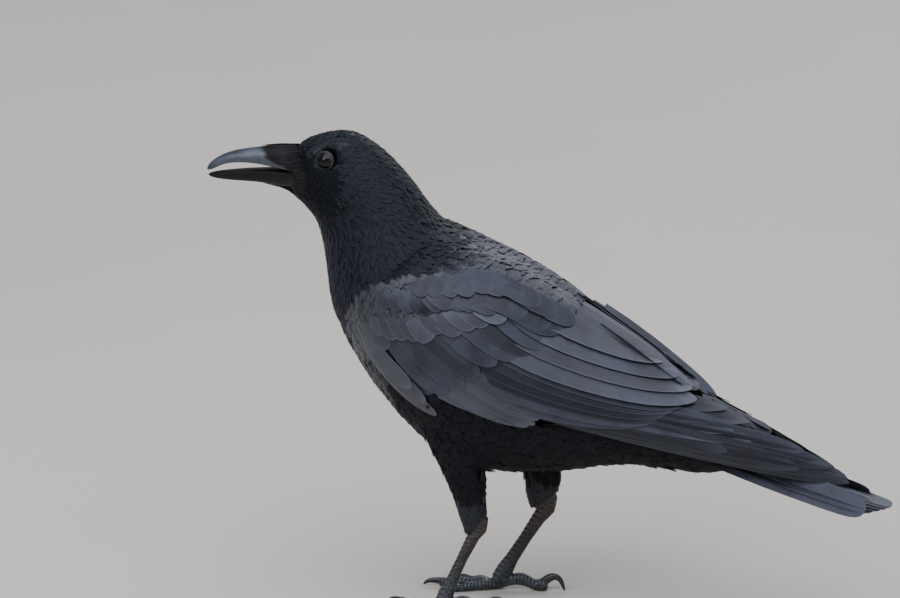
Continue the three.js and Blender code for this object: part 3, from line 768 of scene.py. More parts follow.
eyeSet = {
    "centre": (-136.6, 12.2, 285.7), "radius": 6.7, "look": (-0.28, 0.95, 0.1), "cornea": 0.5,
    "clear": 6.1,  # no feather comes nearer to the line of sight than that
    # distance from the line of sight and height over the eye's centre
    "lidProfile": [(4.0, 5.35), (4.25, 5.55), (4.6, 5.25), (5.0, 4.65), (5.4, 4.45), (5.75, 4.7), (6.05, 4.65),
                   (6.3, 4.1), (6.6, 3.0), (6.2, 1.5), (4.4, 3.6)],
    "opening": 0.93, "creases": 22, "creaseHeight": 0.06,
    "pale": [(0.8, 5.9, 0.35), (0.25, 4.2, 0.3)],  # the painted highlight on the outer fold and on the rim: how pale, where, and how broad
}


def makeEye(side):
    centre = Vector(mirrored(eyeSet["centre"], sides[side])) * mm
    look = Vector(mirrored(eyeSet["look"], sides[side])).normalized()
    aim = Matrix.Translation(centre) @ look.to_track_quat("Z", "Y").to_matrix().to_4x4()
    bm = bmesh.new()
    bmesh.ops.create_uvsphere(bm, u_segments=48, v_segments=32, radius=eyeSet["radius"] * mm)
    gaze = []
    for v in bm.verts:
        off = v.co.normalized().angle(Vector((0, 0, 1)))
        gaze.append(min(off, 1.0))
        v.co *= 1 + eyeSet["cornea"] / eyeSet["radius"] * max(0, cos(min(off * 1.7, pi / 2))) ** 1.5
    bmesh.ops.transform(bm, matrix=aim, verts=bm.verts)
    bmesh.ops.recalc_face_normals(bm, faces=bm.faces)
    eye = pieceFrom(bm, "eyeball_" + side, wetEye, "eye", "eye_" + side)
    giveValues(eye.data, {"gaze": gaze})
    # the lids: one profile, inner rim to outer fold, spun round the line of sight
    bm = bmesh.new()
    loop = [bm.verts.new((radius * mm, 0, out * mm)) for radius, out in eyeSet["lidProfile"]]
    edges = [bm.edges.new((loop[i - 1], loop[i])) for i in range(len(loop))]
    bmesh.ops.spin(bm, geom=loop + edges, cent=(0, 0, 0), axis=(0, 0, 1), angle=2 * pi, steps=44, use_merge=True)
    for v in bm.verts:  # a slightly flattened opening and small creases across the folds
        around = atan2(v.co.y, v.co.x)
        v.co.y *= eyeSet["opening"]
        v.co.z += eyeSet["creaseHeight"] * mm * sin(around * eyeSet["creases"])
    bmesh.ops.transform(bm, matrix=aim, verts=bm.verts)
    bmesh.ops.recalc_face_normals(bm, faces=bm.faces)
    # the painted highlight on the outer fold and rim, by distance from the line of sight
    fold = []
    for v in bm.verts:
        gap = v.co - centre
        off = (gap - look * gap.dot(look)).length / mm
        fold.append(max(0, *(most * (1 - abs(off - place) / breadth) for most, place, breadth in eyeSet["pale"])))
    lid = pieceFrom(bm, "eyelid_" + side, lidSkin, "leg_skin")
    giveValues(lid.data, {"fold": fold})
    addSubdivision(lid, 1)


for side in sides:
    makeEye(side)
print("eyes made")


def makeClaw(side, toe):
    _, length, size, _, _, reach, arch, deep = legSet["toes"][toe]
    way = toeWay(side, toe)
    start = Vector((*legSet["foot"][side], 0)) + way * (length - legSet["clawOverlap"])
    spots, sizes = [], []
    for i in range(legSet["clawSteps"] + 1):
        s = i / legSet["clawSteps"]
        level = legSet["clawRoot"] * size * (1 - s ** 1.7) + legSet["clawTip"] * s
        level += arch * sin(pi * min(s * 1.15, 1)) ** 0.9
        spots.append(start + way * (reach + legSet["clawOverlap"]) * sin(s * pi / 2 * 0.96) + Vector((0, 0, level)))
        thick = deep * (1 - s ** 1.25) ** 0.8 + legSet["clawPoint"]
        sizes.append((thick * legSet["clawWidth"], thick))
    bm = bmesh.new()
    sweep(bm, spots, sizes, legSet["clawAround"])
    bmesh.ops.recalc_face_normals(bm, faces=bm.faces)
    node = "claw_%s_%s" % (side, toe)
    addSubdivision(pieceFrom(bm, "horn_" + node, clawHorn, "claw", node), 1)


for side in sides:
    for toe in legSet["toes"]:
        makeClaw(side, toe)
print("claws made")


def makeBlank(rows, columns, thick, teeth=0):
    # a feather: a thin closed vane on a unit square, shaped by its outline
    # rows: (share of length, share of half width); the last one is the tip, which may fray into teeth
    bm = bmesh.new()
    last = len(rows) - 1
    bmesh.ops.create_grid(bm, x_segments=columns, y_segments=last, size=1)
    for v in bm.verts:
        row = round((v.co.y + 1) / 2 * last)
        column = round((v.co.x + 1) / 2 * columns)
        back = teeth * (row - last + 2) / 2 if row > last - 2 and column % 2 else 0
        v.co = Vector((v.co.x * rows[row][1], rows[row][0] - back, 0))
    under = bmesh.ops.duplicate(bm, geom=bm.verts[:] + bm.edges[:] + bm.faces[:])["geom"]
    bmesh.ops.reverse_faces(bm, faces=[g for g in under if isinstance(g, bmesh.types.BMFace)])
    for v in under:
        if isinstance(v, bmesh.types.BMVert) and not v.is_boundary:
            v.co.z = -thick
    rimPlaces = {(round(v.co.x, 4), round(v.co.y, 4)) for v in bm.verts if v.is_boundary}
    bmesh.ops.remove_doubles(bm, verts=bm.verts, dist=1e-5)
    bm.verts.ensure_lookup_table()
    places = np.array([v.co[:] for v in bm.verts])
    widths = np.interp(places[:, 1], *zip(*rows))
    blank = {
        "across": places[:, 0], "along": places[:, 1], "under": places[:, 2],
        "share": places[:, 0] / np.maximum(widths, 1e-3),
        "rim": np.array([(round(x, 4), round(y, 4)) in rimPlaces for x, y, _ in places]),
        "faces": [[v.index for v in f.verts] for f in bm.faces],
    }
    bm.free()
    return blank


blanks = {
    "round": makeBlank([(0, .3), (.25, .75), (.5, 1), (.72, .98), (.87, .78), (.96, .45), (1, 0)], 4, 0.16),
    "small": makeBlank([(0, .4), (.35, .95), (.7, .95), (.9, .6), (1, 0)], 2, 0.2),
    "hackle": makeBlank([(0, .4), (.3, 1), (.6, .85), (.85, .5), (1, 0)], 2, 0.2),
    "soft": makeBlank([(0, .3), (.25, .8), (.5, 1), (.72, .85), (.88, .5), (1, 0)], 2, 0.16),
    "frayed": makeBlank([(0, .3), (.25, .8), (.5, 1), (.72, .95), (.87, .8), (1, .55)], 6, 0.12, 0.11),
    "bristle": makeBlank([(0, .8), (.5, 1), (1, 0)], 2, 0.6),
    "rectrix": makeBlank([(0, .3), (.1, .6), (.25, .8), (.4, .9), (.55, .96), (.7, 1), (.82, 1), (.9, .97), (.94, .9),
                          (.968, .78), (.987, .58), (.997, .3), (1, 0)], 6, 1),
    "quill": makeBlank([(0, .25), (.06, .5), (.14, .75), (.24, .9), (.36, .97), (.48, 1), (.6, 1), (.7, .98),
                        (.78, .94), (.85, .85), (.905, .72), (.945, .56), (.975, .38), (.993, .18), (1, 0)], 6, 1),
    "oval": makeBlank([(0, .4), (.2, .75), (.4, .95), (.6, 1), (.74, .98), (.84, .9), (.91, .74), (.96, .53),
                       (.99, .27), (1, 0)], 6, 1),
}
vaneSet = {"bakePatch": 0.003, "barbSlant": 0.8, "barbShift": 40, "shaftWidth": 0.7}


def vaneMesh(name, blank, places, shades, halfWidths, lengths, bakePlaces, bakeSize=vaneSet["bakePatch"]):
    # many feathers joined in one mesh; places: feathers x points x 3, already bent to the body
    count, size = places.shape[:2]
    sizes = np.array([len(f) for f in blank["faces"]])
    corners = np.concatenate([np.array(f) for f in blank["faces"]])
    loops = (corners[None, :] + (np.arange(count) * size)[:, None]).ravel()
    totals = np.tile(sizes, count)
    mesh = bpy.data.meshes.new(name)
    mesh.vertices.add(count * size)
    mesh.vertices.foreach_set("co", places.ravel())
    mesh.loops.add(len(loops))
    mesh.loops.foreach_set("vertex_index", loops)
    mesh.polygons.add(len(totals))
    mesh.polygons.foreach_set("loop_start", np.concatenate([[0], np.cumsum(totals)[:-1]]))
    mesh.update(calc_edges=True)
    ends = np.zeros(len(mesh.edges) * 2, dtype=np.int32)
    mesh.edges.foreach_get("vertices", ends)
    onRim = np.tile(blank["rim"], count)[ends.reshape(-1, 2)].all(1)
    mesh.attributes.new("sharp_edge", "BOOLEAN", "EDGE").data.foreach_set("value", onRim)
    slant = np.abs(blank["across"])[None, :] * halfWidths[:, None] / mm * vaneSet["barbSlant"]
    barb = lengths[:, None] / mm * blank["along"][None, :] - slant + shades[:, None] * vaneSet["barbShift"]
    giveValues(mesh, {
        "tone": np.repeat(shades, size), "along": np.tile(blank["along"], count),
        "across": np.tile(blank["share"], count), "barb": barb.ravel(),
    })
    local = np.stack([blank["across"] * bakeSize / 2, (blank["along"] - 0.5) * bakeSize], 1)
    spots = (bakePlaces[:, None, :] + local[None, :, :]).reshape(-1, 2)
    mesh.uv_layers.new(name="OFBake").data.foreach_set("uv", spots[loops].astype(np.float32).ravel())
    mesh.validate()
    mesh.shade_smooth()
    return mesh


unwrapSet = {
    "axis": [(-165, 280), (-135, 278), (-110, 250), (-85, 210), (-50, 165), (0, 150), (50, 128), (110, 110), (190, 85)],
    "legTop": 84, "legX": -30, "legY": 24,
}


def unwrapPlace(points):
    # the skin cut along the belly and rolled flat: run along the body, turn about its axis; legs lie in their own strip
    p = np.asarray(points) / mm
    axis = np.array(unwrapSet["axis"], float)
    steps = np.linalg.norm(np.diff(axis, axis=0), axis=1)
    runs = np.concatenate([[0], np.cumsum(steps)])
    best, run, offset = np.full(len(p), 1e9), np.zeros(len(p)), np.zeros(len(p))
    for i in range(len(steps)):
        way = (axis[i + 1] - axis[i]) / steps[i]
        rel = p[:, [0, 2]] - axis[i]
        share = np.clip(rel @ way, 0, steps[i])
        gap = np.linalg.norm(rel - share[:, None] * way, axis=1)
        nearer = gap < best
        best = np.where(nearer, gap, best)
        run = np.where(nearer, runs[i] + share, run)
        offset = np.where(nearer, rel @ np.array([-way[1], way[0]]), offset)
    turned = np.arctan2(p[:, 1], offset) / (2 * pi) + 0.5
    onLeg = p[:, 2] < unwrapSet["legTop"]
    legTurned = np.arctan2(p[:, 1] - np.sign(p[:, 1]) * unwrapSet["legY"], p[:, 0] - unwrapSet["legX"]) / (2 * pi)
    legU = np.where(p[:, 1] < 0, 0.05, 0.55) + legTurned * 0.4 + 0.2
    u = np.where(onLeg, legU, 0.02 + 0.96 * run / runs[-1])
    v = np.where(onLeg, 0.02 + p[:, 2] / unwrapSet["legTop"] * 0.2, 0.26 + 0.72 * turned)
    return np.stack([u, v], 1)


def alongLine(blank, line, ups):
    # place and normal at each point of a blank, read from a centre line and its normals
    steps = line.shape[-2] - 1
    t = blank["along"] * steps
    low = np.clip(t.astype(int), 0, steps - 1)
    share = (t - low)[:, None]
    return (line[..., low, :] * (1 - share) + line[..., low + 1, :] * share,
            ups[..., low, :] * (1 - share) + ups[..., low + 1, :] * share, low, share)


def inside(polygon, spots):
    # which spots of the camera's frame lie inside a polygon
    hit = np.zeros(len(spots), bool)
    x, y = spots[:, 0], spots[:, 1]
    for (ax, ay), (bx, by) in zip(polygon, polygon[1:] + polygon[:1]):
        hit ^= ((ay > y) != (by > y)) & (x < (bx - ax) * (y - ay) / ((by - ay) or 1e-9) + ax)
    return hit


# small feathers: scattered evenly over the form, each one bent along it
coatSet = {
    "seed": 11, "candidates": 260000, "stations": 5, "closeness": 0.82,
    # in the camera's frame: what the folded wing's large feathers cover, what lies below them, and the shoulder
    "largeFeathers": [(354, 334), (372, 334), (386, 322), (400, 312), (440, 308), (470, 298), (510, 296), (556, 316),
                      (575, 300), (760, 410), (900, 470), (900, 500), (847, 491), (754, 466), (665, 450), (600, 438),
                      (532, 433), (455, 411), (432, 396), (395, 370), (354, 336)],
    "belowWing": [(350, 336), (380, 352), (440, 386), (470, 400), (532, 418), (600, 424), (665, 436), (760, 455),
                  (900, 480), (900, 700), (300, 700)],
    "shoulder": [(338, 318), (342, 296), (352, 281), (391, 268), (432, 263), (446, 290), (440, 316), (400, 320),
                 (386, 330), (372, 340), (352, 346), (342, 336)],
    "wingDepth": 4, "tailStart": 118, "heelEdge": 1.5,  # mm
    "lengths": (0.85, 1.15), "widths": (0.9, 1.1), "yaw": 5,  # how much neighbours differ, and degrees
    "freeLegs": 90, "freeFrom": 0.45,  # below that height (mm) a feather hangs free once it is so far off, in steps
    "turn": 0.6,  # how quickly a feather takes up the lie of the form under it
    "curl": 0.12, "raise": 0.15, "thickest": 2.2,
    "dive": 0.75, "lift": 2.5,  # how early the vane comes up from the skin, how late its tip stands off
}
coatPieces = {  # blank, material, how far the tips stand off (mm)
    "forehead": ("small", "crownFeather", 0.5), "face": ("small", "faceFeather", 0.25),
    "head": ("hackle", "headFeather", 0.5), "rump": ("round", "breastFeather", 0.2),
    "shoulder": ("round", "mantleFeather", 0.2), "neck": ("hackle", "headFeather", 0.4),
    "collar": ("round", "crownFeather", 0.2), "legs": ("frayed", "breastFeather", 0.6),
    "underside": ("frayed", "bellyFeather", 1.2), "breast": ("soft", "breastFeather", 0.3),
    "back": ("round", "mantleFeather", 0.25),
}


def scatterRoots():
    random = np.random.RandomState(coatSet["seed"])
    a, b, c = (formPoints[formFaces[:, i]] for i in range(3))
    normals = np.cross(b - a, c - a)
    area = np.linalg.norm(normals, axis=1) / 2
    weight = area / lieOf((a + b + c) / 3)[1][:, 2] ** 2
    picked = random.choice(len(area), coatSet["candidates"], p=weight / weight.sum())
    u, v = random.rand(len(picked)), random.rand(len(picked))
    flip = u + v > 1
    u, v = np.where(flip, 1 - u, u), np.where(flip, 1 - v, v)
    roots = a[picked] + (b - a)[picked] * u[:, None] + (c - a)[picked] * v[:, None]
    normals = normals[picked] / np.maximum(area[picked] * 2, 1e-12)[:, None]
    keep = rootAllowed(roots, normals)
    roots, normals = roots[keep], normals[keep]
    spacing = lieOf(roots)[1][:, 2]
    tree = KDTree(len(roots))
    for i, root in enumerate(roots):
        tree.insert(root, i)
    tree.balance()
    gone, chosen = np.zeros(len(roots), bool), []
    for i, root in enumerate(roots):
        if gone[i]:
            continue
        chosen.append(i)
        for _, j, _ in tree.find_range(root, spacing[i] * coatSet["closeness"]):
            gone[j] = True
    return roots[chosen], normals[chosen]


def nearSided(points):
    # the same places on the side that the camera sees
    return points * (np.where(points[..., 1:2] > 0, -1.0, 1.0) * [0, 1, 0] + [1, 0, 1])


def rootAllowed(roots, normals):
    # no small feathers under the wing's large ones, on the bill and tail, in the gape, or on the thighs' lower ends (mm)
    x, y, z = roots[:, 0] / mm, np.abs(roots[:, 1]) / mm, roots[:, 2] / mm
    onWing = np.array([wingTree.find_nearest(root)[3] < coatSet["wingDepth"] * mm for root in roots])
    large = onWing & inside(coatSet["largeFeathers"], inFrame(nearSided(roots)))
    large &= (y > 8) & (np.abs(normals[:, 1]) > 0.12)
    underWing = (x > 30) & (y > 20) & (normals[:, 2] < 0.1) & (z > 115)
    bill = (x < -158) & (y < 9) & (z > 264.5) & (z < 291)
    gape = (x < -153.5) & (z > 268) & (z < 280.5)
    thighEnds = (z < 85) & (normals[:, 2] < -0.6)
    return ~(large | bill | gape | (x > coatSet["tailStart"]) | underWing | thighEnds)


def clearOfEyes(places):
    good = np.ones(len(places), bool)
    for sign in (-1, 1):
        look = np.array(mirrored(eyeSet["look"], sign))
        look /= np.linalg.norm(look)
        rel = places - np.array(mirrored(eyeSet["centre"], sign)) * mm
        off = np.linalg.norm(rel - (rel @ look)[..., None] * look, axis=-1)
        good &= ~((off < eyeSet["clear"] * mm) & (rel @ look > 0)).any(axis=1)
    return good


def layCoat(roots, normals):
    # walks each feather along the form and returns centre lines, normals and cross bend
    random = np.random.RandomState(coatSet["seed"] + 1)
    way, sizes = lieOf(roots)
    count, stations = len(roots), coatSet["stations"]
    lengths = sizes[:, 0] * random.uniform(*coatSet["lengths"], count)
    halfWidths = sizes[:, 1] * random.uniform(*coatSet["widths"], count)
    yaw = random.normal(0, radians(coatSet["yaw"]), count)
    centres, ups, bends = np.zeros((count, stations, 3)), np.zeros((count, stations, 3)), np.zeros(count)
    for i in range(count):
        place, up = Vector(roots[i]), Vector(normals[i])
        heading = Vector(way[i])
        heading.rotate(Matrix.Rotation(yaw[i], 3, up))
        step = lengths[i] / (stations - 1)
        for k in range(stations):
            centres[i, k], ups[i, k] = place, up
            heading = (heading - up * heading.dot(up)).normalized()
            if k == stations // 2:
                sideways = up.cross(heading) * halfWidths[i]
                for sign in (-1, 1):
                    bends[i] += (place - formTree.find_nearest(place + sideways * sign)[0]).dot(up) / 2
            if k < stations - 1:
                near, nearUp, _, _ = formTree.find_nearest(place + heading * step)
                off = (near - place - heading * step).length
                if roots[i][2] > coatSet["freeLegs"] * mm or off < coatSet["freeFrom"] * step:
                    up = (up * (1 - coatSet["turn"]) + nearUp * coatSet["turn"]).normalized()
                    place = near
                else:  # past the end of the thigh the feather hangs free
                    place = place + heading * step
    return centres, ups, bends, lengths, halfWidths, sizes[:, 3], random.rand(count)


def bendBlank(blank, centres, ups, bends, halfWidths, depths, lift, flare=0):
    # fits a blank to each centre line: from the skin at its root up to the coat's surface at its tip
    line, up, low, _ = alongLine(blank, centres, ups)
    up /= np.linalg.norm(up, axis=2)[..., None]
    sideways = np.cross(up, centres[:, low + 1] - centres[:, low])
    sideways /= np.maximum(np.linalg.norm(sideways, axis=2), 1e-9)[..., None]
    along, across = np.clip(blank["along"], 0, 1), blank["across"][None, :]
    rise = (along ** coatSet["dive"] - 1)[None, :] * depths[:, None] + lift
    rise = rise + np.reshape(flare, (-1, 1)) * along[None, :] ** coatSet["lift"]
    fall = bends[:, None] * across ** 2 + coatSet["curl"] * halfWidths[:, None] * across ** 2
    under = blank["under"][None, :] * np.minimum(halfWidths[:, None], coatSet["thickest"] * mm)
    return line + sideways * (across * halfWidths[:, None])[..., None] + up * (rise - fall + under)[..., None]


def coatRegions(roots, normals, shades):
    # the first region that holds a root takes it (mm); the shades jitter some borders
    x, y, z = roots[:, 0] / mm, np.abs(roots[:, 1]) / mm, roots[:, 2] / mm
    framed = inFrame(nearSided(roots))
    jitter = shades - 0.5
    collar = z - 241 - (x + 60) * 0.76 + jitter * 10  # the glossy mantle begins behind this line
    return {
        "forehead": (x + jitter * 12 < -131) & (z + jitter * 6 > 288),
        "face": (x + jitter * 7 < -131) & (z + jitter * 16 > 255),
        "head": (z > 245) & (x < -95),
        "rump": (x > 82) & (z > 112),
        "shoulder": inside(coatSet["shoulder"], framed) & (y > np.where(z < 172, 35, 22)),
        "neck": (x < -50) & ((collar > 0) | ((y < 36) & (z > 182) & (x < -104))),
        "collar": (x < -40) & (collar > -11),
        "legs": z < 86,
        "underside": ((z < 128) | inside(coatSet["belowWing"], framed)) & (x > -104),
        "breast": ((y < 43) & (z < 190) & (x < -84)) | ((x < -45) & (z < 185) & (y < 33) & (normals[:, 2] < 0.1)),
        "back": z >= 0,
    }


def makeCoat():
    roots, normals = scatterRoots()
    centres, ups, bends, lengths, halfWidths, depths, shades = layCoat(roots, normals)
    regions = coatRegions(roots, normals, shades)
    left = clearOfEyes(centres)
    hiding = inside(coatSet["largeFeathers"], inFrame(nearSided(centres).reshape(-1, 3))).reshape(centres.shape[:2])
    hiding &= np.array([[wingTree.find_nearest(spot)[3] < coatSet["wingDepth"] * mm for spot in line]
                        for line in centres])
    left &= ~(hiding.any(1) & (regions["rump"] | regions["underside"]))  # these would lie over the wing
    tips = centres[:, -1]
    overHeel = tips[:, 2] < featherEdge(tips[:, 0], tips[:, 1]) - coatSet["heelEdge"] * mm * shades
    left &= ~(regions["legs"] & overHeel)
    total = 0
    for name, where in regions.items():
        mine = left & where
        left &= ~where
        kind, vane, loose = coatPieces[name]
        places = bendBlank(blanks[kind], centres[mine], ups[mine], bends[mine], halfWidths[mine], depths[mine],
                           coatSet["raise"] * mm, loose * mm * shades[mine] ** 2)
        mesh = vaneMesh("coat_" + name, blanks[kind], places, shades[mine], halfWidths[mine], lengths[mine],
                        unwrapPlace(roots[mine]))
        linkPiece("coat_" + name, mesh, vanes[vane], "body_feather")
        total += len(mesh.polygons)
        print("coat", name, int(mine.sum()), "feathers")
    print("coat", total, "faces")


makeCoat()


def tipped(rows, spread=0.62):
    # feathers given by tip place, the way they point (degrees below level), length and half width in mm
    roots, tips, halves = [], [], []
    for across, down, angle, length, half in rows:
        run = length / spread
        tips.append((across, down))
        roots.append((across - run * cos(radians(angle)), down - run * sin(radians(angle))))
        halves.append(half)
    return {"roots": roots, "tips": tips, "halves": halves}


# the folded wing's large feathers are laid through places of the camera's frame, or of space where they have three
# numbers, on the near side, and mirrored
# mm: outer and inner half widths, height over the form at root and tip; tilt of the vane, thickness, bow of the shaft
# lowered: how much lower one side's feathers lie, where that begins along X, and over what run it is reached
wingGroups = {
    "primaries": {
        "blank": "quill", "outer": 5, "inner": 11, "height": (-2.4, -1.2), "tilt": 0.10, "thick": 0.35, "bow": 0.018,
        # the primaries' tones paint light and shade: the broad blade that catches the light is lighter (1.3, 1.0), the
        # stack under it darker
        "tones": (0.0, 0.1, 0.0, 0.15, 0.0, 0.15, 1.3, 1.0, 0.2, 0.4), "lowered": {"right": (4.2, 70, 80)},
        "roots": [(440, 382), (452, 386), (463, 389), (474, 391), (485, 392), (495, 392), (506, 391), (517, 390),
                  (528, 388), (540, 386)],
        "tips": [(728, 453), (800, 470), (850, 483.5), (848, 478), (834, 467), (806, 451), (752, 441), (735, 431),
                 (750, 420), (728, 407)]},
    "primaryCoverts": {
        "blank": "quill", "outer": 5, "inner": 6, "height": (-1.6, -0.5), "tilt": 0.14, "thick": 0.3, "bow": 0.03,
        "glossy": True,
        "roots": [(380, 352), (388, 355), (396, 358), (405, 360), (414, 361), (424, 361), (435, 360), (446, 358)],
        "tips": [(478, 411), (493, 416), (506, 421), (518, 425), (528, 427), (535, 425), (539, 420), (540, 414)]},
    "secondaries": {
        "blank": "quill", "outer": 7, "inner": 10, "height": (-1.8, -0.3), "tilt": 0.13, "thick": 0.35, "bow": 0.04,
        "roots": [(424, 368), (432, 366), (441, 363), (450, 359), (460, 355), (470, 350), (480, 345)],
        "tips": [(632, 424), (643, 424), (652, 422), (659, 419), (666, 415), (673, 411), (681, 407)]},
    "tertials": {
        "blank": "quill", "outer": 10.5, "inner": 10, "height": (-1.0, 0.5), "tilt": 0.12, "thick": 0.4, "bow": 0.03,
        "glossy": True, "roots": [(486, 337), (497, 325), (508, 312), (522, 300)],
        "tips": [(697, 399), (692, 388), (680, 374), (664, 360)]},
    "innerTertials": {
        "blank": "quill", "outer": 8, "inner": 6, "height": (-0.8, 0.3), "tilt": 0.08, "thick": 0.4, "bow": 0.0,
        "glossy": True, "tones": (0.5, 0.7), "roots": [(10, -24, 222), (20, -15, 218)],
        "tips": [(98, -13, 160), (86, -8, 165)]},
    "backTertials": {
        "blank": "oval", "outer": 5, "inner": 5.5, "height": (-1.5, 0), "tilt": 0, "thick": 0.35, "bow": 0,
        "glossy": True, "tones": (0.6, 0.9), "lowered": {"left": (4.3, 0, 1)}, "leaning": (0.42, 0.55, 0.72),
        "roots": [(26, -13, 195), (34, -12, 193)], "tips": [(95, -11, 143.5), (103.5, -10, 136.6)]},
    "alula": {
        "blank": "oval", "outer": 5.6, "inner": 6.4, "height": (0.2, 1.9), "tilt": 0.14, "thick": 0.35, "bow": 0.06,
        "glossy": True, "tones": (0.35, 0.3, 0.7), "roots": [(353, 326), (357, 325), (361, 324)],
        "tips": [(437, 413), (427, 401), (413, 387)]},
    "greaterCoverts": {
        "blank": "oval", "outer": 7.5, "inner": 8, "height": (-1.4, 0.1), "tilt": 0.12, "thick": 0.32, "bow": 0.05,
        "roots": [(370, 330), (382, 326), (396, 320), (411, 313), (427, 306), (443, 299), (459, 294), (475, 289),
                  (491, 285), (506, 283)],
        "tips": [(433, 393), (448, 392), (464, 387), (479, 377), (497, 364), (517, 358), (532, 353), (545, 347),
                 (556, 340), (563, 332)]},
    "medianCoverts": {
        "blank": "oval", "height": (-0.9, 0.6), "tilt": 0.1, "thick": 0.3, "bow": 0.05, "glossy": True,
        **tipped([(376, 342, 62, 17, 5.5), (388, 349, 60, 19, 6), (384, 334, 62, 15, 5.5), (398, 338, 56, 19, 6.5),
                  (410, 337, 54, 20, 7), (422, 338, 50, 21, 7), (434, 338, 46, 22, 7.5), (446, 329, 42, 22, 7.5),
                  (464, 330, 36, 26, 8.5), (478, 324, 32, 26, 8.5), (492, 320, 30, 28, 8.5), (508, 316, 28, 30, 8.5)])},
    "lowerScapulars": {
        "blank": "oval", "height": (-0.7, 1.2), "tilt": 0.08, "thick": 0.3, "bow": 0.04,
        **tipped([(392, 306, 58, 13, 5), (403, 308, 56, 14, 5.5), (414, 310, 54, 15, 6), (424, 310, 52, 16, 6),
                  (433, 311, 48, 17, 6.5), (444, 308, 44, 18, 6.5), (456, 303, 38, 24, 9), (469, 305, 32, 20, 7),
                  (479, 306, 30, 21, 7), (488, 306, 28, 22, 7), (498, 308, 26, 24, 7.5), (512, 306, 24, 26, 8),
                  (527, 312, 26, 34, 8), (540, 318, 27, 38, 8), (551, 324, 27, 42, 8), (561, 329, 27, 46, 8.5)])},
    "upperScapulars": {
        "blank": "oval", "height": (-0.7, 1.6), "tilt": 0.07, "thick": 0.3, "bow": 0.04,
        **tipped([(428, 293, 40, 13, 5.5), (444, 292, 36, 16, 6.5), (460, 291, 30, 17, 7), (476, 290, 24, 19, 7.5),
                  (493, 286, 22, 22, 8), (508, 290, 24, 26, 8), (524, 294, 26, 30, 8), (541, 303, 28, 34, 8),
                  (556, 312, 29, 38, 8), (574, 322, 30, 40, 8)])},
}
wingSet = {
    "seed": 5, "stations": 16, "rounds": 6, "camber": 0.045, "shaft": 0.12,
    "differ": 0.04, "differTilt": 0.015,  # how much the feathers of a row differ in width and tilt
    "dive": 0.7,  # the share of its length by which a feather has come up from under those before it
    "slip": 6,  # mm; a larger step sideways means that the line of sight slipped past the wing's edge
    "armVoxel": 2.2, "armRounds": 4, "armSwell": 0.2, "armDepth": 2.7,  # mm
}


def layLine(work, i, tree):
    # centre places and normals on the form, along a slightly bowed line from root to tip
    root, tip = np.array(work["roots"][i], float), np.array(work["tips"][i], float)
    gap = tip - root
    stations = wingSet["stations"]
    line, ups = np.full((stations, 3), np.nan), np.zeros((stations, 3))
    last = None
    for k in range(stations):
        s = k / (stations - 1)
        if "leaning" in work:
            place, up = Vector((root + gap * s) * mm), Vector(work["leaning"])
        elif len(gap) == 3:
            place, up, _, _ = tree.find_nearest((root + gap * s) * mm)
        else:
            spot = root + gap * s + np.array([-gap[1], gap[0]]) * work["bow"] * 4 * s * (1 - s)
            place, up, _, _ = tree.ray_cast(camPlace, sightLine(*spot))
        if place is not None and "leaning" not in work and up.dot(camBack) < 0:
            up = -up
        if place is None or (last and abs(place.y - last[0].y) > wingSet["slip"] * mm * (k - last[1])):
            continue
        last = (place, k)
        line[k], ups[k] = place, up
    found = np.flatnonzero(~np.isnan(line[:, 0]))
    for k in range(stations):
        if k not in found:  # past the edge of the form it runs straight on
            closest = np.argmin(abs(found - k))
            near = found[closest]
            inner = found[min(max(closest + (3 if k < near else -3), 0), len(found) - 1)]
            line[k] = line[near] + (line[near] - line[inner]) / (near - inner) * (k - near)
            ups[k] = ups[near]
    for _ in range(wingSet["rounds"]):
        smoothAlong(line)
        smoothAlong(ups)
    return line, ups / np.linalg.norm(ups, axis=1)[:, None]


def bladePlaces(blank, centre, up, out, reach, rise, thick, shaft):
    # a large feather about its shaft: reach is how far out each point lies, rise how high
    ridge = shaft * mm * np.exp(-(reach / (vaneSet["shaftWidth"] * mm)) ** 2) * (blank["under"] == 0)
    height = rise + blank["under"] * thick * mm + ridge
    return centre + out * reach[:, None] + up * height[:, None]


def reachOf(blank, outer, inner):
    return np.where(blank["across"] > 0, outer, inner) * blank["across"] * mm


def layVane(work, line, ups, outer, inner, tilt):
    blank = blanks[work["blank"]]
    centre, up, low, share = alongLine(blank, line, ups)
    slopes = np.gradient(line, axis=0)
    out = np.cross(slopes[low] * (1 - share) + slopes[low + 1] * share, up)
    out /= np.linalg.norm(out, axis=1)[:, None]
    # the outer vane of a folded feather lies lower and further out
    out *= -np.sign(out[:, 2].mean() - 0.3 * out[:, 1].mean())
    lift = 1 - (1 - np.clip(blank["along"] / wingSet["dive"], 0, 1)) ** 2
    atRoot, atTip = work["height"]
    reach = reachOf(blank, outer, inner)
    rise = (atRoot + (atTip - atRoot) * lift) * mm + reach * tilt
    rise -= wingSet["camber"] * blank["across"] ** 2 * (outer + inner) / 2 * mm
    return bladePlaces(blank, centre, up, out, reach, rise, work["thick"], wingSet["shaft"])


def faceOutward(mesh):
    bm = bmesh.new()
    bm.from_mesh(mesh)
    bmesh.ops.recalc_face_normals(bm, faces=bm.faces)
    bm.to_mesh(mesh)
    bm.free()


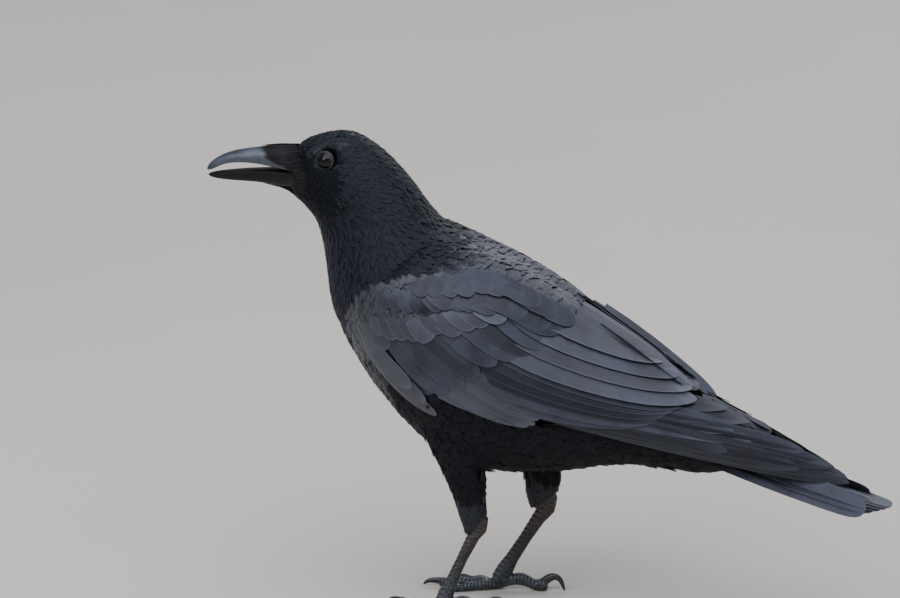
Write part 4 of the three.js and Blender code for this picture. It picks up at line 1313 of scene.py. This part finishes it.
def makeWings():
    random = np.random.RandomState(wingSet["seed"])
    for side in sides:  # the arm under the feathers
        core = cadShell(wingNodes[side][:2], wingSet["armVoxel"], wingSet["armRounds"], wingSet["armSwell"])
        for v in core.verts:
            v.co -= v.normal * wingSet["armDepth"] * mm
        pieceFrom(core, "wing_%s_arm" % side, downSkin, "flight_feather", *wingNodes[side])
    for row, (group, work) in enumerate(wingGroups.items()):
        count = len(work["roots"])
        placed, shades, lengths = [], [], []
        halves = work.get("halves") or [work["outer"]] * count
        tree = formTree if work["blank"] == "oval" else wingTree
        for i in range(count):
            line, ups = layLine(work, i, tree)
            outer = halves[i] * (1 + wingSet["differ"] * random.randn())
            tilt = work["tilt"] + wingSet["differTilt"] * random.randn()
            placed.append(layVane(work, line, ups, outer, work.get("inner", halves[i]), tilt))
            # a listed tone is given per feather, on the primaries as painted light and shade; otherwise the tone
            # differs at random
            shades.append(work["tones"][i] if "tones" in work else random.rand())
            lengths.append(np.linalg.norm(np.diff(line, axis=0), axis=1).sum())
        strips = np.stack([0.06 + 0.9 * (np.arange(count) / count), np.full(count, 0.06 + 0.095 * row)], 1)
        for side in sides:
            sided = np.array(placed) * [1, -sides[side], 1]
            lower, start, run = work.get("lowered", {}).get(side, (0, 0, 1))
            sided[..., 2] -= lower * mm * np.clip((sided[..., 0] / mm - start) / run, 0, 1)
            mesh = vaneMesh("vanes_%s_%s" % (side, group), blanks[work["blank"]], sided, np.array(shades),
                            np.array(halves) * mm, np.array(lengths), strips, min(0.08, 0.8 / count))
            faceOutward(mesh)
            linkPiece(mesh.name, mesh, vanes["flightFeather" if "glossy" in work else "quillFeather"], "flight_feather")
        print("wing", group, count)


makeWings()


tailSet = {  # mm, for twelve feathers, the middle pair on top
    "root": (58, 0, 118.5), "tip": (214.5, 0, 72.8), "middle": 0.8, "spread": 1.6,
    "tips": (2.4, 5.0, 7.6, 10.2, 12.8, 16.5),
    "rounding": 15, "outer": (7.5, 7.5, 7.5, 7.5, 7.5, 8.5), "inner": 8.5, "thick": 0.3, "shaft": 0.15, "camber": 0.24,
    "above": (3.0, 2.8, 2.4, 1.8, 1.0, 0.3), "overlap": 0.2, "droop": 2.6, "halfSpan": 28.5, "sag": 1.2,
    "roll": (0, 3, 8, 16, 30, 58),  # degrees that each feather shelves down at its outer vane
    # the outermost feather's tone of 1.0 is painted light on the side panel; the others keep a dark tone
    "tones": (0.3, 0.2, 0.35, 0.15, 0.3, 1.0), "length": 160,
}


def makeTail():
    root, tip = Vector(tailSet["root"]), Vector(tailSet["tip"])
    way = (tip - root).normalized()
    raised = Vector((-way.z, 0, way.x))
    blank = blanks["rectrix"]
    placed = []
    for sign in (-1, 1):
        for i in range(6):
            start = root + Vector((0, sign * (tailSet["middle"] + i * tailSet["spread"]), 0))
            end = tip - way * tailSet["rounding"] * (i / 5) ** 1.8 + Vector((0, sign * tailSet["tips"][i], 0))
            level = tailSet["above"][i] - (tailSet["overlap"] if sign > 0 else 0)
            line, ups = [], []
            for k in range(wingSet["stations"]):
                s = k / (wingSet["stations"] - 1)
                place = start.lerp(end, s)
                droop = tailSet["droop"] * (abs(place.y) / tailSet["halfSpan"]) ** 2 + tailSet["sag"] * s * s
                line.append(((place + raised * (level - droop)) * mm)[:])
                turned = radians(tailSet["roll"][i]) * min(1, s * 2)
                ups.append((raised * cos(turned) + Vector((0, sign * sin(turned), 0)))[:])
            line = np.array(line)
            centre, up, low, _ = alongLine(blank, line, np.array(ups))
            out = np.cross(line[low + 1] - line[low], up)
            out /= np.linalg.norm(out, axis=1)[:, None]
            out *= np.sign(out[:, 1] * sign)[:, None]
            reach = reachOf(blank, tailSet["outer"][i], tailSet["inner"])
            rise = -tailSet["camber"] * blank["across"] ** 2 * mm
            placed.append(bladePlaces(blank, centre, up, out, reach, rise, tailSet["thick"], tailSet["shaft"]))
    strips = np.stack([0.06 + 0.075 * np.arange(12), np.full(12, 0.5)], 1)
    mesh = vaneMesh("tail_feathers", blank, np.array(placed), np.array(tailSet["tones"] * 2),
                    np.full(12, tailSet["inner"] * mm), np.full(12, tailSet["length"] * mm), strips, 0.07)
    faceOutward(mesh)
    linkPiece("tail_feathers", mesh, vanes["quillFeather"], "flight_feather", "tail")
    print("tail made")


makeTail()


bristleSet = {  # mm; share runs from 0 on the ridge of the bill to 1 at its cutting edge, and on beside the lower bill
    "seed": 21, "halfWidth": 0.38, "depth": 0.2, "upper": 760, "most": 1.75,
    "ridge": 292, "flank": 14.8, "fall": 1.5, "rootX": (-159, -148), "rootJitter": (-6, 3),
    "tipShares": (0, 0.5, 1, 1.1), "tipX": (-180, -174, -160, -157.5), "tipJitter": (-2.5, 5),
    "chin": 200, "chinHalf": 8, "chinX": (-168, -150), "chinLength": (9, 15), "chinZ": (258, 262),
}


def makeBristles():
    # nasal bristles lie forward over the base of the bill
    look = bristleSet
    random = np.random.RandomState(look["seed"])
    bm = bmesh.new()
    for name in ("bill_upper", "bill_lower", "head"):
        bm.from_mesh(nodes[name].data)
    tree = BVHTree.FromBMesh(bm)
    bm.free()
    centres, ups = [], []

    def lay(start, end, facing, otherwise, lift):
        line, normals = [], []
        for k in range(coatSet["stations"]):
            s = k / (coatSet["stations"] - 1)
            near, up, _, _ = tree.find_nearest(Vector([a + (b - a) * s for a, b in zip(start, end)]) * mm)
            up = up.normalized() if up.dot(Vector(facing)) > 0 else Vector(otherwise).normalized()
            line.append((near + up * lift(s) * mm)[:])
            normals.append(up[:])
        centres.append(line)
        ups.append(normals)

    for i in range(look["upper"]):
        sign = -1 if i % 2 else 1
        share = random.rand() * look["most"]
        level = look["ridge"] - look["flank"] * share
        reach = np.interp(share, look["tipShares"], look["tipX"])
        reach += random.uniform(*look["tipJitter"]) * min(1, 1.6 - 0.8 * share)
        begin = np.interp(share, (0, 1), look["rootX"]) + random.uniform(*look["rootJitter"])
        sideways = sign * (1.5 + 9 * sqrt(share))
        stand = random.rand()
        lay((begin, sideways, level), (reach, sideways, level - look["fall"]), (0, sign, 0.6), (0, sign, 0.5),
            lambda s: 0.25 + 0.9 * stand * s)
    for i in range(look["chin"]):  # and the chin's, under the lower bill
        sideways, begin = random.uniform(-look["chinHalf"], look["chinHalf"]), random.uniform(*look["chinX"])
        reach = begin - random.uniform(*look["chinLength"]) * (1 - abs(sideways) / 12)
        low, high = look["chinZ"]
        lay((begin, sideways, low), (reach, sideways * 0.65, high), (0, 0, -1), (0, 0, -1),
            lambda s: 0.2 + 0.5 * s * random.rand())
    centres, ups = np.array(centres), np.array(ups)
    count = len(centres)
    halfWidths = np.full(count, look["halfWidth"] * mm)
    blank = blanks["bristle"]
    depth = look["depth"] * mm
    places = bendBlank(blank, centres, ups, np.zeros(count), halfWidths, np.full(count, depth), depth)
    lengths = np.linalg.norm(centres[:, -1] - centres[:, 0], axis=1)
    mesh = vaneMesh("nasal_bristles", blank, places, random.rand(count), halfWidths, lengths,
                    unwrapPlace(centres[:, 0]))
    linkPiece("nasal_bristles", mesh, vanes["bristleFeather"], "body_feather")
    print("bristles made")


makeBristles()


def makeFloor(halfSize=6, cells=4):
    bm = bmesh.new()
    bmesh.ops.create_grid(bm, x_segments=cells, y_segments=cells, size=halfSize)
    mesh = bpy.data.meshes.new("floor")
    bm.to_mesh(mesh)
    bm.free()
    mesh.materials.append(floorMaterial())
    floor = bpy.data.objects.new("floor", mesh)
    bpy.context.collection.objects.link(floor)


makeFloor()
